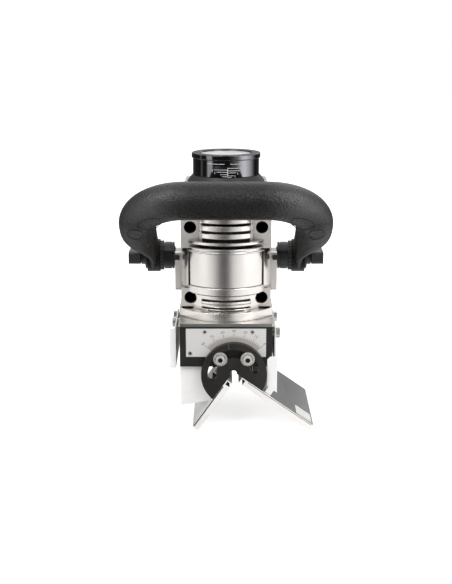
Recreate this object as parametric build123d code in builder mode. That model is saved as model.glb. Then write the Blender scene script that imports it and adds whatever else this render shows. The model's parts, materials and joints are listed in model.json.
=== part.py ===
from build123d import *
import os
from math import cos, pi, radians, sin, sqrt, tan

os.makedirs("parts", exist_ok=True)

# A hand-held edge beveling machine, in millimetres
# X runs across, Y runs back along the motor, Z runs up from the floor
# Places along Y are given from the spindle axis, which stands at X = 0

# Fits and cuts
slip = 0.3
running = 0.05
play = 0.1
overrun = 1.0

# Bevel guide, a V of two plates that swings about a line along Y
guide_half_angle = 45.0
rest_turn = 10.0
pivot_x = 7.6
right_arm = 92.0
arm_start = 7.6
bar_drop = 3.4
bar_thickness = 5.1
bar_edge = 0.8
sheet_thickness = 1.05
lip_depth = 6.0
lip_gap = 3.4
guide_front = 64.0
guide_rear = 40.0
window_half = 26.0
left_window = 35.0
right_window = 22.0
window_corner = 3.0
right_angle = guide_half_angle - rest_turn
left_angle = guide_half_angle + rest_turn
pivot_z = right_arm * sin(radians(right_angle)) + bar_drop * cos(radians(right_angle))
left_arm = (pivot_z - bar_drop * cos(radians(left_angle))) / sin(radians(left_angle))
sheet_top = bar_thickness - bar_drop + sheet_thickness

# Quadrants that clamp the guide at its angle
quadrant_radius = 31.5
quadrant_thickness = 6.5
slot_radius = 21.0
slot_width = 8.2
slot_half_angle = 84.0
notch_width = 6.3
notch_top = 5.0
clamp_half_angle = 38.3
clamp_shank = 3.0
clamp_head = 4.4
clamp_head_height = 3.6
clamp_socket = 2.6
clamp_socket_depth = 2.0
washer_radius = 6.6
washer_thickness = 1.6

# Guide carrier, the box under the gear housing
carrier_clearance = 6.65
carrier_height = 39.5
carrier_half = 44.2
top_plate_thickness = 3.0
top_plate_half = 45.3
top_plate_hole = 26.0
front_plate_face = 56.5
front_plate_thickness = 4.0
rear_plate_face = 31.0
rear_plate_thickness = 5.0
side_wall_thickness = 3.4
plate_corner = 1.5
scale_half = 38.2
scale_height = 28.0
scale_margin = 1.8
scale_thickness = 1.0
scale_cutout = 27.0
scale_screw_head = 1.9
scale_screw_shank = 1.0
scale_screw_length = 2.6
scale_screw_drop = 3.4
scale_screw_places = (-20.3, 25.1)
scale_low_screw_x = -34.3
scale_low_screw_rise = 3.4

# Guards and shields of folded sheet
guard_sheet = 1.4
left_guard_gap = 4.0
right_guard_gap = 2.4
left_guard_width = 5.8
guard_top_drop = 3.9
right_guard_rear = 24.0
left_guard_rear = 28.0
guard_screw_rise = 30.0
right_screw_places = (-43.0, 16.0)
left_screw_places = (-5.0, 20.0)
guard_screw_radius = 5.0
guard_screw_head = 4.0
guard_screw_shank = 2.0
guard_knurls = 12
guard_knurl_radius = 0.7
guard_boss_radius = 4.0
left_guard_lift = 0.6
right_guard_drop = 1.5
shield_thickness = 1.5
shield_corner = 2.0
left_shield_rise = carrier_clearance + carrier_height - sheet_top - 2 * slip
left_shield_shares = ((0.39, 1.0), (0.21, 0.6), (0.37, 0.0), (0.58, 0.0), (0.875, 0.456))
left_foot_start = 25.5
left_foot_end = 36.0
foot_depth = 9.0
foot_screw_radius = 1.9
foot_screw_height = 1.4
right_shield_setback = 3.4
right_shield_width = 9.6
right_shield_rise = 17.5
right_shield_corner = 3.0
right_shield_lift = 5.6
right_leg_start = 34.5
right_leg_end = 41.0

# Gear housing
flange_radius = 51.0
flange_height = 8.1
motor_rise = 45.0
lower_column = 42.0
upper_column = 37.0
band_radius = 45.0
band_drop = 29.0
band_rise = 16.2
panel_drop = 22.0
panel_rise = 11.4
panel_half = 36.5
panel_depth = 1.2
block_half = 43.5
block_front = 13.0
motor_face = 38.0
ear_front = 27.0
ear_half_height = 9.0
ear_width = 18.0
upper_ear_drop = 20.2
screw_square = 69.0
tunnel_radius = 5.95
tunnel_floor = 24.0
housing_screw_shank = 2.5
housing_screw_head = 4.6
housing_screw_head_height = 5.0
housing_screw_grip = 10.0
housing_screw_socket = 2.2
fin_radius = 46.0
fin_rise = 19.7
fin_thickness = 2.5
rib_radius = 40.5
rib_half = 23.0
rib_thickness = 4.6
rib_pitch = 7.4
upper_rib_rise = 27.4
upper_rib_count = 5
lower_rib_depth = 2.6
lower_rib_count = 2
lower_rib_thickness = 2.3
lower_rib_drop = 36.3
boss_outer = 50.0
boss_half_depth = 12.0
boss_top_rise = 7.4
boss_drop = 31.2
boss_corner = 2.0
deck_rise = 75.7
deck_thickness = 5.5
deck_half = 40.0
deck_corner = 12.0

# Inner bores of the gear housing
chamber_radius = 27.0
chamber_rise = 12.5
lift_bore = 20.0
key_width = 5.0
key_height = 2.0
pinion_passage = 11.0

# Bevel gears, both cut towards the crossing of the two axes
crown_teeth = 30
pinion_teeth = 10
gear_module = 1.6
gear_face = 8.0
addendum_share = 0.8
dedendum_share = 1.1
tooth_half_share = 0.6
tooth_flank_share = 0.364
tooth_sink_share = 0.2
crown_disc = 7.0
crown_hub = 12.0
crown_pitch = gear_module * crown_teeth / 2
pinion_pitch = gear_module * pinion_teeth / 2

# Spindle, its bearings and the cutter
spindle_radius = 8.0
spline_count = 6
spline_width = 3.0
spline_height = 1.5
spindle_neck = 6.0
bearing_height = 8.0
crown_bearing_gap = 7.0
bush_wall = 4.0
cartridge_bottom_rise = 20.5
cartridge_height = 34.0
cartridge_floor = 3.0
cartridge_lip = 4.0
lift_bearing_outer = 16.0
lift_bearing_height = 10.0
spindle_head = 9.0
spindle_head_height = 5.0
lift_nut_radius = 15.7
lift_nut_engaged = 14.0
lift_nut_collar = 19.0
lift_nut_collar_height = 5.0
cutter_radius = 21.0
cutter_height = 20.0
cutter_bottom_drop = 4.6
cutter_collar = 11.0
cutter_collar_height = 5.0
insert_count = 3
insert_width = 10.0
insert_height = 14.0
insert_thickness = 3.0
insert_reach = 0.8
insert_screw_radius = 2.0
gullet_width = 8.0
cutter_screw_head = 6.0
cutter_screw_shank = 3.0
cutter_screw_length = 16.0
cutter_recess = 5.0

# Scale dial
dial_base_low = 37.5
dial_base_high = 33.0
dial_base_height = 6.5
dial_radius = 32.0
dial_height = 16.0
dial_wall = 5.0
dial_hub = 20.0
dial_floor = 3.0
dial_edge = 0.6
cap_radius = 33.2
cap_height = 5.0
cap_floor = 2.5
face_radius = 24.5
face_thickness = 1.0

# Bow handle
handle_rise = 1.8
handle_tilt = 38.3
handle_reach = 108.4
handle_half_width = 100.0
handle_corner = 46.0
grip_radius = 17.25
arm_full_share = 0.897
arm_middle_share = 0.577
arm_middle_shift = 0.592
arm_middle_half = 12.4
arm_middle_depth = 16.8
arm_neck_share = 0.288
arm_neck_inset = 0.5
lug_inner = 65.0
lug_outer = 77.2
lug_radius = 16.0
pivot_bolt = 4.0
hub_radius = 14.5
hub_groove = 12.4
hub_disc = 3.4
hub_groove_width = 1.0
hub_ring = 1.6
hub_ring_radius = 13.4
hub_shaft = 9.0
hub_teeth = 24
hub_tooth_radius = 0.8
knob_flange_radius = 13.0
knob_flange = 1.8
knob_neck = 9.0
knob_neck_length = 4.2
knob_bore_length = 7.0
wing_half_length = 16.5
wing_thickness = 12.0
wing_tip = 95.0
wing_corner = 3.0

# Motor behind the gear housing
flange_square_half = 43.5
motor_flange = 12.0
motor_flange_corner = 10.0
barrel_front_radius = 42.0
barrel_rear_radius = 37.0
barrel_end = 272.0
barrel_wall = 3.5
tail_end = 320.0
tail_wall = 3.0
shaft_radius = 6.0
pinion_shaft = 3.0
pinion_hub = 7.5
pinion_tip = 0.5
motor_bore = 30.0
motor_bearing_outer = 13.0
motor_bearing_width = 8.0
bulkhead_face = 240.0
bulkhead_lip = 2.0
bulkhead_passage = 9.0
fan_start = 54.0
fan_width = 12.0
fan_radius = 35.0
fan_hub = 12.0
fan_plate = 2.0
fan_blades = 12
blade_thickness = 2.0
stator_start = 80.0
stator_length = 76.0
stator_outer = 36.0
stator_inner = 25.0
air_gap = 0.6
winding_overhang = 9.0
winding_margin = 2.0
rotor_winding_radius = 20.0
commutator_start = 190.0
commutator_length = 24.0
commutator_radius = 14.0
commutator_bars = 24
commutator_slot = 0.6
commutator_slot_depth = 1.0
brush_width = 7.0
brush_depth = 12.0
brush_length = 12.0
holder_wall = 1.8
holder_start = 16.5
holder_end = 34.2
vent_count = 12
vent_width = 4.0
vent_length = 16.0
vent_start = 56.0
tail_vent_start = 278.0
tail_vent_length = 17.0
tail_rear_radius = 24.0
tail_shoulder = 300.0
spigot_length = 10.0
spigot_radius = 33.4
spigot_wall = 3.0
tail_screw_count = 4
tail_screw_shank = 1.6
tail_screw_head = 3.2
tail_screw_head_height = 1.8
inlet_radius = 7.5
inlet_bore = 4.0
inlet_length = 12.0
inlet_lip = 2.0
switch_start = 172.0
switch_travel = 8.0
switch_length = 30.0
switch_width = 15.0
switch_height = 5.0
switch_pocket = 2.0
switch_ribs = 5
switch_rib_height = 0.9
switch_rib_width = 1.6
module_length = 22.0
switch_slot = 4.0
switch_stem = 3.0
switch_stem_reach = 5.0
switch_play = 0.6
switch_corner = 3.0
module_half_width = 14.0
module_half_height = 11.0

# Heights and places that follow from the sizes above
carrier_bottom = pivot_z + carrier_clearance
carrier_top = carrier_bottom + carrier_height
flange_bottom = carrier_top + top_plate_thickness
body_bottom = flange_bottom + flange_height
motor_z = body_bottom + motor_rise
block_top = motor_z + flange_square_half
deck_top = motor_z + deck_rise
deck_bottom = deck_top - deck_thickness
chamber_top = motor_z + chamber_rise
handle_z = motor_z + handle_rise
screw_half = screw_square / 2
dial_bottom = deck_top + dial_base_height + slip
cap_bottom = dial_bottom + dial_height
quadrant_front = front_plate_face + slip + quadrant_thickness
quadrant_back = rear_plate_face + slip + quadrant_thickness
crown_z = motor_z - pinion_pitch
gear_inner_share = 1 - gear_face / crown_pitch
crown_root = crown_z - dedendum_share * gear_module
cutter_bottom = pivot_z - cutter_bottom_drop
cutter_top = cutter_bottom + cutter_height
cartridge_bottom = motor_z + cartridge_bottom_rise
lift_bearing_bottom = cartridge_bottom + cartridge_floor
lift_bearing_top = lift_bearing_bottom + lift_bearing_height
shield_front = front_plate_face - front_plate_thickness - slip
wall_front = shield_front - shield_thickness - slip

# The spindle stands so that the middle of the whole length lies at Y = 0
front_reach = handle_reach * cos(radians(handle_tilt)) + grip_radius
spindle_y = (front_reach - tail_end) / 2
spindle_axis = Axis((0, spindle_y, 0), (0, 0, 1))
motor_axis = Axis((0, spindle_y, motor_z), (0, 1, 0))


def level(z):
    """A level plane at height z, centred on the spindle."""
    return Plane(origin=(0, spindle_y, z), x_dir=(1, 0, 0), z_dir=(0, 0, 1))


def facing(y, z=0):
    """A plane across the machine, seen from the front, y behind the spindle."""
    return Plane(origin=(0, spindle_y + y, z), x_dir=(1, 0, 0), z_dir=(0, -1, 0))


def upright(x, z=0):
    """A plane along the machine at x, with Y to its right and Z up."""
    return Plane(origin=(x, spindle_y, z), x_dir=(0, 1, 0), z_dir=(1, 0, 0))


def guide_plane(y, turn=rest_turn):
    """A front plane at the guide's pivot, turned with the guide."""
    a = radians(turn)
    return Plane(origin=(pivot_x, spindle_y + y, pivot_z), x_dir=(cos(a), 0, sin(a)), z_dir=(0, -1, 0))


def arm_plane(side, angle):
    """The front or rear end plane of a guide arm: x runs down the arm, y up from it."""
    a = radians(angle)
    y = guide_rear if side > 0 else -guide_front
    along = (side * cos(a), 0, -sin(a))
    return Plane(origin=(pivot_x, spindle_y + y, pivot_z), x_dir=along, z_dir=(0, -side, 0))


def arm_top(side, angle, height):
    """A plane on a guide arm, height above its pivot line: x runs down the arm."""
    a = radians(angle)
    up = (side * sin(a), 0, cos(a))
    origin = (pivot_x + height * up[0], spindle_y, pivot_z + height * up[2])
    return Plane(origin=origin, x_dir=(side * cos(a), 0, -sin(a)), z_dir=up)


# Gear housing, a light alloy casting
with BuildPart() as gear_housing:
    # Flange with two flats and a step above it
    with BuildSketch(level(flange_bottom)):
        Circle(flange_radius)
        Rectangle(2 * top_plate_half, 2 * flange_radius, mode=Mode.INTERSECT)
    extrude(amount=flange_height)
    # Columns, the wide lower one and the slim upper one
    with BuildSketch(level(body_bottom)):
        Circle(lower_column)
        with Locations((0, motor_face - lower_column)):
            Rectangle(2 * lower_column, 2 * lower_column, mode=Mode.INTERSECT)
    extrude(amount=motor_z - band_drop - body_bottom)
    with BuildSketch(level(motor_z)):
        Circle(upper_column)
    extrude(amount=deck_bottom - motor_z)
    # Block that carries the motor
    with BuildSketch(level(body_bottom)):
        with Locations((0, (motor_face - block_front) / 2)):
            Rectangle(2 * block_half, motor_face + block_front)
    extrude(amount=block_top - body_bottom)
    # Band round the front
    with BuildSketch(level(motor_z - band_drop)):
        Circle(band_radius)
        with Locations((0, -(block_front + band_radius) / 2)):
            Rectangle(2 * band_radius, band_radius - block_front, mode=Mode.INTERSECT)
    extrude(amount=band_drop + band_rise)
    # Ears in front of the block, two low and two high
    with BuildSketch(facing(-ear_front, motor_z)):
        for side in (-1, 1):
            ear_middle = side * (block_half - ear_width / 2)
            with Locations((ear_middle, -screw_half)):
                Rectangle(ear_width, 2 * ear_half_height)
            with Locations((ear_middle, screw_half + (ear_half_height - upper_ear_drop) / 2)):
                Rectangle(ear_width, upper_ear_drop + ear_half_height)
    extrude(amount=-(ear_front - block_front))
    # Bosses for the handle
    with BuildSketch(upright(-boss_outer, motor_z)):
        with Locations((0, (boss_top_rise - boss_drop) / 2)):
            RectangleRounded(2 * boss_half_depth, boss_top_rise + boss_drop, boss_corner)
    extrude(amount=2 * boss_outer)
    # Deck under the dial
    with BuildSketch(level(deck_bottom)):
        RectangleRounded(2 * deck_half, 2 * deck_half, deck_corner)
    extrude(amount=deck_thickness)
    # Ring fin and ribs on the front
    with BuildSketch(level(motor_z + fin_rise)):
        Circle(fin_radius)
        with Locations((0, -(fin_radius + ear_front) / 2)):
            Rectangle(2 * fin_radius, fin_radius - ear_front, mode=Mode.INTERSECT)
    extrude(amount=fin_thickness)
    for i in range(upper_rib_count):
        with BuildSketch(level(motor_z + upper_rib_rise + i * rib_pitch - rib_thickness / 2)):
            Circle(rib_radius)
            with Locations((0, -rib_radius / 2)):
                Rectangle(2 * rib_half, rib_radius, mode=Mode.INTERSECT)
        extrude(amount=rib_thickness)
    # Recessed panel of the band and grooves below it
    with BuildSketch(level(motor_z - panel_drop)):
        Circle(band_radius + overrun)
        Circle(band_radius - panel_depth, mode=Mode.SUBTRACT)
        with Locations((0, -band_radius / 2)):
            Rectangle(2 * panel_half, band_radius + 2 * overrun, mode=Mode.INTERSECT)
    extrude(amount=panel_drop + panel_rise, mode=Mode.SUBTRACT)
    for i in range(lower_rib_count):
        with BuildSketch(level(motor_z - lower_rib_drop - i * rib_pitch)):
            Circle(lower_column + overrun)
            Circle(lower_column - lower_rib_depth, mode=Mode.SUBTRACT)
            with Locations((0, -lower_column / 2)):
                Rectangle(2 * rib_half, lower_column + 2 * overrun, mode=Mode.INTERSECT)
        extrude(amount=lower_rib_thickness, mode=Mode.SUBTRACT)
    # Screw tunnels from the front, with a seat near the motor
    with BuildSketch(facing(-lower_column, motor_z)):
        with GridLocations(screw_square, screw_square, 2, 2):
            Circle(tunnel_radius)
    extrude(amount=-(lower_column + tunnel_floor), mode=Mode.SUBTRACT)
    with BuildSketch(facing(motor_face, motor_z)):
        with GridLocations(screw_square, screw_square, 2, 2):
            Circle(housing_screw_shank + play)
    extrude(amount=motor_face - tunnel_floor + overrun, mode=Mode.SUBTRACT)
    # Gear chamber, lift bore with its keyway, and the motor's bearing seat
    with BuildSketch(level(flange_bottom)):
        Circle(chamber_radius)
    extrude(amount=chamber_top - flange_bottom, mode=Mode.SUBTRACT)
    with BuildSketch(level(chamber_top)):
        Circle(lift_bore)
        with Locations((0, -lift_bore)):
            Rectangle(key_width + 2 * play, 2 * (key_height + play))
    extrude(amount=deck_top - chamber_top, mode=Mode.SUBTRACT)
    with BuildSketch(facing(motor_face, motor_z)):
        Circle(pinion_passage)
    extrude(amount=motor_face, mode=Mode.SUBTRACT)
    with BuildSketch(facing(motor_face, motor_z)):
        Circle(motor_bearing_outer)
    extrude(amount=motor_bearing_width, mode=Mode.SUBTRACT)
    # Bore for the handle's pivot bolts
    for side in (-1, 1):
        with BuildSketch(upright(side * boss_outer, handle_z)):
            Circle(pivot_bolt + play)
        extrude(amount=-side * (boss_outer - chamber_radius) / 2, mode=Mode.SUBTRACT)
gear_housing.part.label = "gear_housing"
export_step(gear_housing.part, "parts/gear_housing.step")

# Long screws that hold the gear housing to the motor, deep in the tunnels
with BuildPart() as housing_screws:
    with BuildSketch(facing(tunnel_floor, motor_z)):
        with GridLocations(screw_square, screw_square, 2, 2):
            Circle(housing_screw_head)
            RegularPolygon(housing_screw_socket, 6, mode=Mode.SUBTRACT)
    extrude(amount=housing_screw_head_height)
    with BuildSketch(facing(tunnel_floor, motor_z)):
        with GridLocations(screw_square, screw_square, 2, 2):
            Circle(housing_screw_shank)
    extrude(amount=-(motor_face - tunnel_floor + housing_screw_grip))
    with BuildSketch(facing(tunnel_floor, motor_z)):
        with GridLocations(screw_square, screw_square, 2, 2):
            Circle(housing_screw_head)
    extrude(amount=housing_screw_head_height / 3)
housing_screws.part.label = "housing_screws"
export_step(housing_screws.part, "parts/housing_screws.step")

# Plate that closes the gear chamber and holds the spindle's lower bush
with BuildPart() as bearing_plate:
    with BuildSketch(level(flange_bottom)):
        Circle(chamber_radius)
        Circle(spindle_radius + bush_wall, mode=Mode.SUBTRACT)
    extrude(amount=flange_height)
bearing_plate.part.label = "bearing_plate"
export_step(bearing_plate.part, "parts/bearing_plate.step")

with BuildPart() as spindle_bush:
    with BuildSketch(level(flange_bottom)):
        Circle(spindle_radius + bush_wall)
        Circle(spindle_radius + running, mode=Mode.SUBTRACT)
    extrude(amount=flange_height)
spindle_bush.part.label = "spindle_bush"
export_step(spindle_bush.part, "parts/spindle_bush.step")

# Ball bearings, two on the crown gear's hub and two on the armature shaft
with BuildPart() as ball_bearings:
    for i in range(2):
        with BuildSketch(level(body_bottom + i * (bearing_height + crown_bearing_gap))):
            Circle(chamber_radius)
            Circle(crown_hub + running, mode=Mode.SUBTRACT)
        extrude(amount=bearing_height)
    for y in (motor_face - motor_bearing_width, bulkhead_face):
        with BuildSketch(facing(y, motor_z)):
            Circle(motor_bearing_outer)
            Circle(shaft_radius + running, mode=Mode.SUBTRACT)
        extrude(amount=-motor_bearing_width)
ball_bearings.part.label = "ball_bearings"
export_step(ball_bearings.part, "parts/ball_bearings.step")


def tooth_outline(scale):
    """Corners of a gear tooth about its pitch point, drawn in towards the gears' crossing."""
    tip = addendum_share * gear_module * scale
    root = -(dedendum_share + tooth_sink_share) * gear_module * scale
    half = tooth_half_share * gear_module * scale
    half_tip = half - tooth_flank_share * tip
    half_root = half - tooth_flank_share * root
    return (-half_root, root), (half_root, root), (half_tip, tip), (-half_tip, tip)


# One tooth of the crown gear, standing up on the right
with BuildPart() as crown_tooth:
    for scale in (1, gear_inner_share):
        with BuildSketch(upright(crown_pitch * scale, motor_z - pinion_pitch * scale)):
            with BuildLine():
                Polyline(*tooth_outline(scale), close=True)
            make_face()
    loft(ruled=True)

# Crown gear: a disc with thirty bevel teeth on a splined hub
with BuildPart() as crown_gear:
    with BuildSketch(upright(0)):
        with BuildLine():
            Polyline(
                (0, body_bottom + slip),
                (crown_hub, body_bottom + slip),
                (crown_hub, crown_root - crown_disc),
                (crown_pitch, crown_root - crown_disc),
                (crown_pitch, crown_root),
                (crown_pitch * gear_inner_share, motor_z - (motor_z - crown_root) * gear_inner_share),
                (0, motor_z - (motor_z - crown_root) * gear_inner_share),
                close=True,
            )
        make_face()
    revolve(axis=spindle_axis)
    add([crown_tooth.part.rotate(spindle_axis, i * 360 / crown_teeth) for i in range(crown_teeth)])
    with BuildSketch(level(body_bottom)):
        Circle(spindle_radius + play)
        with PolarLocations((spindle_radius + spline_height + play) / 2, spline_count):
            Rectangle(spindle_radius + spline_height + play, spline_width + 2 * play)
    extrude(amount=crown_z - body_bottom + gear_face, mode=Mode.SUBTRACT)
crown_gear.part.label = "crown_gear"
export_step(crown_gear.part, "parts/crown_gear.step")

# Spindle with its splines and, at the top, the neck and head that hold the lift bearing
with BuildPart() as spindle:
    with BuildSketch(upright(0)):
        with BuildLine():
            Polyline(
                (0, cutter_top),
                (cutter_collar, cutter_top),
                (cutter_collar, cutter_top + cutter_collar_height),
                (spindle_radius, cutter_top + cutter_collar_height),
                (spindle_radius, lift_bearing_bottom),
                (spindle_neck, lift_bearing_bottom),
                (spindle_neck, lift_bearing_top + slip),
                (spindle_head, lift_bearing_top + slip),
                (spindle_head, lift_bearing_top + slip + spindle_head_height),
                (0, lift_bearing_top + slip + spindle_head_height),
                close=True,
            )
        make_face()
    revolve(axis=spindle_axis)
    with BuildSketch(level(body_bottom + bearing_height + slip)):
        with PolarLocations((spindle_neck + spindle_radius + spline_height) / 2, spline_count):
            Rectangle(spindle_radius + spline_height - spindle_neck, spline_width)
    extrude(amount=crown_z - body_bottom - bearing_height)
    with BuildSketch(level(cutter_top)):
        Circle(cutter_screw_shank)
    extrude(amount=cutter_screw_length, mode=Mode.SUBTRACT)
spindle.part.label = "spindle"
export_step(spindle.part, "parts/spindle.step")

# Cutter head with three pockets and gullets, open at the bottom face
insert_middle = cutter_radius + insert_reach - insert_width / 2
insert_z = cutter_bottom + insert_height / 2
with BuildPart() as cutter_head:
    with BuildSketch(level(cutter_bottom + insert_reach)):
        Circle(cutter_radius)
    extrude(amount=cutter_height - insert_reach)
    chamfer(cutter_head.faces().sort_by(Axis.Z)[-1].edges(), cutter_collar_height / 4)
    with BuildSketch(level(cutter_bottom)):
        with PolarLocations(0, insert_count):
            with Locations((insert_middle, insert_thickness / 2)):
                Rectangle(insert_width, insert_thickness)
            with Locations((insert_middle, insert_thickness + gullet_width / 2)):
                Rectangle(insert_width, gullet_width)
    extrude(amount=insert_height, mode=Mode.SUBTRACT)
    with BuildSketch(level(cutter_bottom)):
        Circle(cutter_screw_shank)
    extrude(amount=cutter_height, mode=Mode.SUBTRACT)
    with BuildSketch(level(cutter_bottom)):
        Circle(cutter_screw_head)
    extrude(amount=insert_reach + cutter_recess, mode=Mode.SUBTRACT)
cutter_head.part.label = "cutter_head"
export_step(cutter_head.part, "parts/cutter_head.step")

# Square inserts that stand proud at the rim and the bottom, each with a screw hole
with BuildPart() as cutting_inserts:
    with BuildSketch(level(cutter_bottom)):
        with PolarLocations(0, insert_count):
            with Locations((insert_middle, insert_thickness / 2)):
                Rectangle(insert_width, insert_thickness)
    extrude(amount=insert_height)
    for i in range(insert_count):
        a = 2 * pi * i / insert_count
        place = Plane(
            origin=(insert_middle * cos(a), spindle_y + insert_middle * sin(a), insert_z),
            x_dir=(0, 0, 1),
            z_dir=(-sin(a), cos(a), 0),
        )
        with BuildSketch(place):
            Circle(insert_screw_radius)
        extrude(amount=insert_thickness, mode=Mode.SUBTRACT)
cutting_inserts.part.label = "cutting_inserts"
export_step(cutting_inserts.part, "parts/cutting_inserts.step")

with BuildPart() as insert_screws:
    for i in range(insert_count):
        a = 2 * pi * i / insert_count
        place = Plane(
            origin=(insert_middle * cos(a), spindle_y + insert_middle * sin(a), insert_z),
            x_dir=(0, 0, 1),
            z_dir=(-sin(a), cos(a), 0),
        )
        with BuildSketch(place):
            Circle(insert_screw_radius)
        extrude(amount=insert_thickness)
        with BuildSketch(place.offset(insert_thickness)):
            Circle(insert_screw_radius + insert_reach)
        extrude(amount=insert_reach)
insert_screws.part.label = "insert_screws"
export_step(insert_screws.part, "parts/insert_screws.step")

with BuildPart() as cutter_screw:
    with BuildSketch(level(cutter_bottom + insert_reach + cutter_recess)):
        Circle(cutter_screw_head)
        RegularPolygon(cutter_screw_shank, 6, mode=Mode.SUBTRACT)
    extrude(amount=-cutter_recess)
    with BuildSketch(level(cutter_bottom + insert_reach + cutter_recess)):
        Circle(cutter_screw_head)
    extrude(amount=-cutter_recess / 3)
    with BuildSketch(level(cutter_bottom + insert_reach + cutter_recess)):
        Circle(cutter_screw_shank)
    extrude(amount=cutter_top - cutter_bottom - insert_reach - cutter_recess + cutter_screw_length)
cutter_screw.part.label = "cutter_screw"
export_step(cutter_screw.part, "parts/cutter_screw.step")

# Lift cartridge: a keyed sleeve that carries the spindle up and down
with BuildPart() as lift_cartridge:
    with BuildSketch(level(cartridge_bottom)):
        Circle(lift_bore - play)
        with Locations((0, -lift_bore)):
            Rectangle(key_width, 2 * key_height)
    extrude(amount=cartridge_height)
    with BuildSketch(level(cartridge_bottom)):
        Circle(lift_bearing_outer - cartridge_lip)
    extrude(amount=cartridge_floor, mode=Mode.SUBTRACT)
    with BuildSketch(level(lift_bearing_bottom)):
        Circle(lift_bearing_outer)
    extrude(amount=cartridge_height, mode=Mode.SUBTRACT)
lift_cartridge.part.label = "lift_cartridge"
export_step(lift_cartridge.part, "parts/lift_cartridge.step")

with BuildPart() as lift_bearing:
    with BuildSketch(level(lift_bearing_bottom)):
        Circle(lift_bearing_outer)
        Circle(spindle_neck + running, mode=Mode.SUBTRACT)
    extrude(amount=lift_bearing_height)
lift_bearing.part.label = "lift_bearing"
export_step(lift_bearing.part, "parts/lift_bearing.step")

# Lift nut, turned by the dial and threaded into the cartridge
with BuildPart() as lift_nut:
    with BuildSketch(upright(0)):
        with BuildLine():
            Polyline(
                (0, cartridge_bottom + cartridge_height - lift_nut_engaged),
                (lift_nut_radius, cartridge_bottom + cartridge_height - lift_nut_engaged),
                (lift_nut_radius, deck_top - slip - lift_nut_collar_height),
                (lift_nut_collar, deck_top - slip - lift_nut_collar_height),
                (lift_nut_collar, deck_top - slip),
                (lift_nut_radius, deck_top - slip),
                (lift_nut_radius, dial_bottom),
                (dial_hub, dial_bottom),
                (dial_hub, cap_bottom),
                (0, cap_bottom),
                close=True,
            )
        make_face()
    revolve(axis=spindle_axis)
lift_nut.part.label = "lift_nut"
export_step(lift_nut.part, "parts/lift_nut.step")

# Base ring of the dial, a low cone on the deck
with BuildPart() as dial_base:
    with BuildSketch(upright(0)):
        with BuildLine():
            Polyline(
                (lift_nut_radius + slip, deck_top),
                (dial_base_low, deck_top),
                (dial_base_low, deck_top + dial_edge),
                (dial_base_high, deck_top + dial_base_height),
                (lift_nut_radius + slip, deck_top + dial_base_height),
                close=True,
            )
        make_face()
    revolve(axis=spindle_axis)
dial_base.part.label = "dial_base"
export_step(dial_base.part, "parts/dial_base.step")

# Dial: sleeve, cap and face turn together
with BuildPart() as dial_sleeve:
    with BuildSketch(upright(0)):
        with BuildLine():
            Polyline(
                (dial_hub, dial_bottom),
                (dial_radius, dial_bottom),
                (dial_radius, cap_bottom),
                (dial_radius - dial_wall, cap_bottom),
                (dial_radius - dial_wall, dial_bottom + dial_floor),
                (dial_hub, dial_bottom + dial_floor),
                close=True,
            )
        make_face()
    revolve(axis=spindle_axis)
dial_sleeve.part.label = "dial_sleeve"
export_step(dial_sleeve.part, "parts/dial_sleeve.step")

with BuildPart() as dial_cap:
    with BuildSketch(upright(0)):
        with BuildLine():
            Polyline(
                (0, cap_bottom),
                (cap_radius - dial_edge, cap_bottom),
                (cap_radius, cap_bottom + dial_edge),
                (cap_radius, cap_bottom + cap_height - dial_edge),
                (cap_radius - dial_edge, cap_bottom + cap_height),
                (face_radius + 2 * dial_edge, cap_bottom + cap_height),
                (face_radius + play, cap_bottom + cap_floor + face_thickness),
                (face_radius + play, cap_bottom + cap_floor),
                (0, cap_bottom + cap_floor),
                close=True,
            )
        make_face()
    revolve(axis=spindle_axis)
dial_cap.part.label = "dial_cap"
export_step(dial_cap.part, "parts/dial_cap.step")

with BuildPart() as dial_face:
    with BuildSketch(level(cap_bottom + cap_floor)):
        Circle(face_radius)
    extrude(amount=face_thickness)
dial_face.part.label = "dial_face"
export_step(dial_face.part, "parts/dial_face.step")

# Carrier top plate, screwed under the gear housing
with BuildPart() as carrier_top_plate:
    with BuildSketch(level(carrier_top)):
        with Locations((0, (rear_plate_face - front_plate_face) / 2)):
            RectangleRounded(2 * top_plate_half, rear_plate_face + front_plate_face, plate_corner)
        Circle(top_plate_hole, mode=Mode.SUBTRACT)
    extrude(amount=top_plate_thickness)
carrier_top_plate.part.label = "carrier_top_plate"
export_step(carrier_top_plate.part, "parts/carrier_top_plate.step")

# Places of the clamp screws on the front and rear plates
clamp_x = slot_radius * sin(radians(clamp_half_angle))
clamp_z = pivot_z + slot_radius * cos(radians(clamp_half_angle))
thread_spots = [(pivot_x + side * clamp_x, clamp_z - carrier_bottom) for side in (-1, 1)]
scale_top = carrier_top - scale_margin
scale_bottom = scale_top - scale_height
scale_screw_spots = [(x, scale_top - scale_screw_drop) for x in scale_screw_places]
scale_screw_spots.append((scale_low_screw_x, scale_bottom + scale_low_screw_rise))

# Front plate with a flush recess for the scale
with BuildPart() as front_plate:
    with BuildSketch(facing(front_plate_thickness - front_plate_face, carrier_bottom)):
        with Locations((0, carrier_height / 2)):
            Rectangle(2 * carrier_half, carrier_height)
        with Locations(*thread_spots):
            Circle(clamp_shank + play, mode=Mode.SUBTRACT)
    extrude(amount=front_plate_thickness)
    with BuildSketch(facing(scale_thickness - front_plate_face)):
        with Locations((0, (scale_top + scale_bottom) / 2)):
            Rectangle(2 * scale_half, scale_height)
        with Locations((pivot_x, pivot_z)):
            Circle(scale_cutout, mode=Mode.SUBTRACT)
    extrude(amount=scale_thickness, mode=Mode.SUBTRACT)
    with BuildSketch(facing(scale_thickness - front_plate_face)):
        with Locations(*scale_screw_spots):
            Circle(scale_screw_shank + play)
    extrude(amount=-scale_screw_length, mode=Mode.SUBTRACT)
front_plate.part.label = "front_plate"
export_step(front_plate.part, "parts/front_plate.step")

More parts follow.
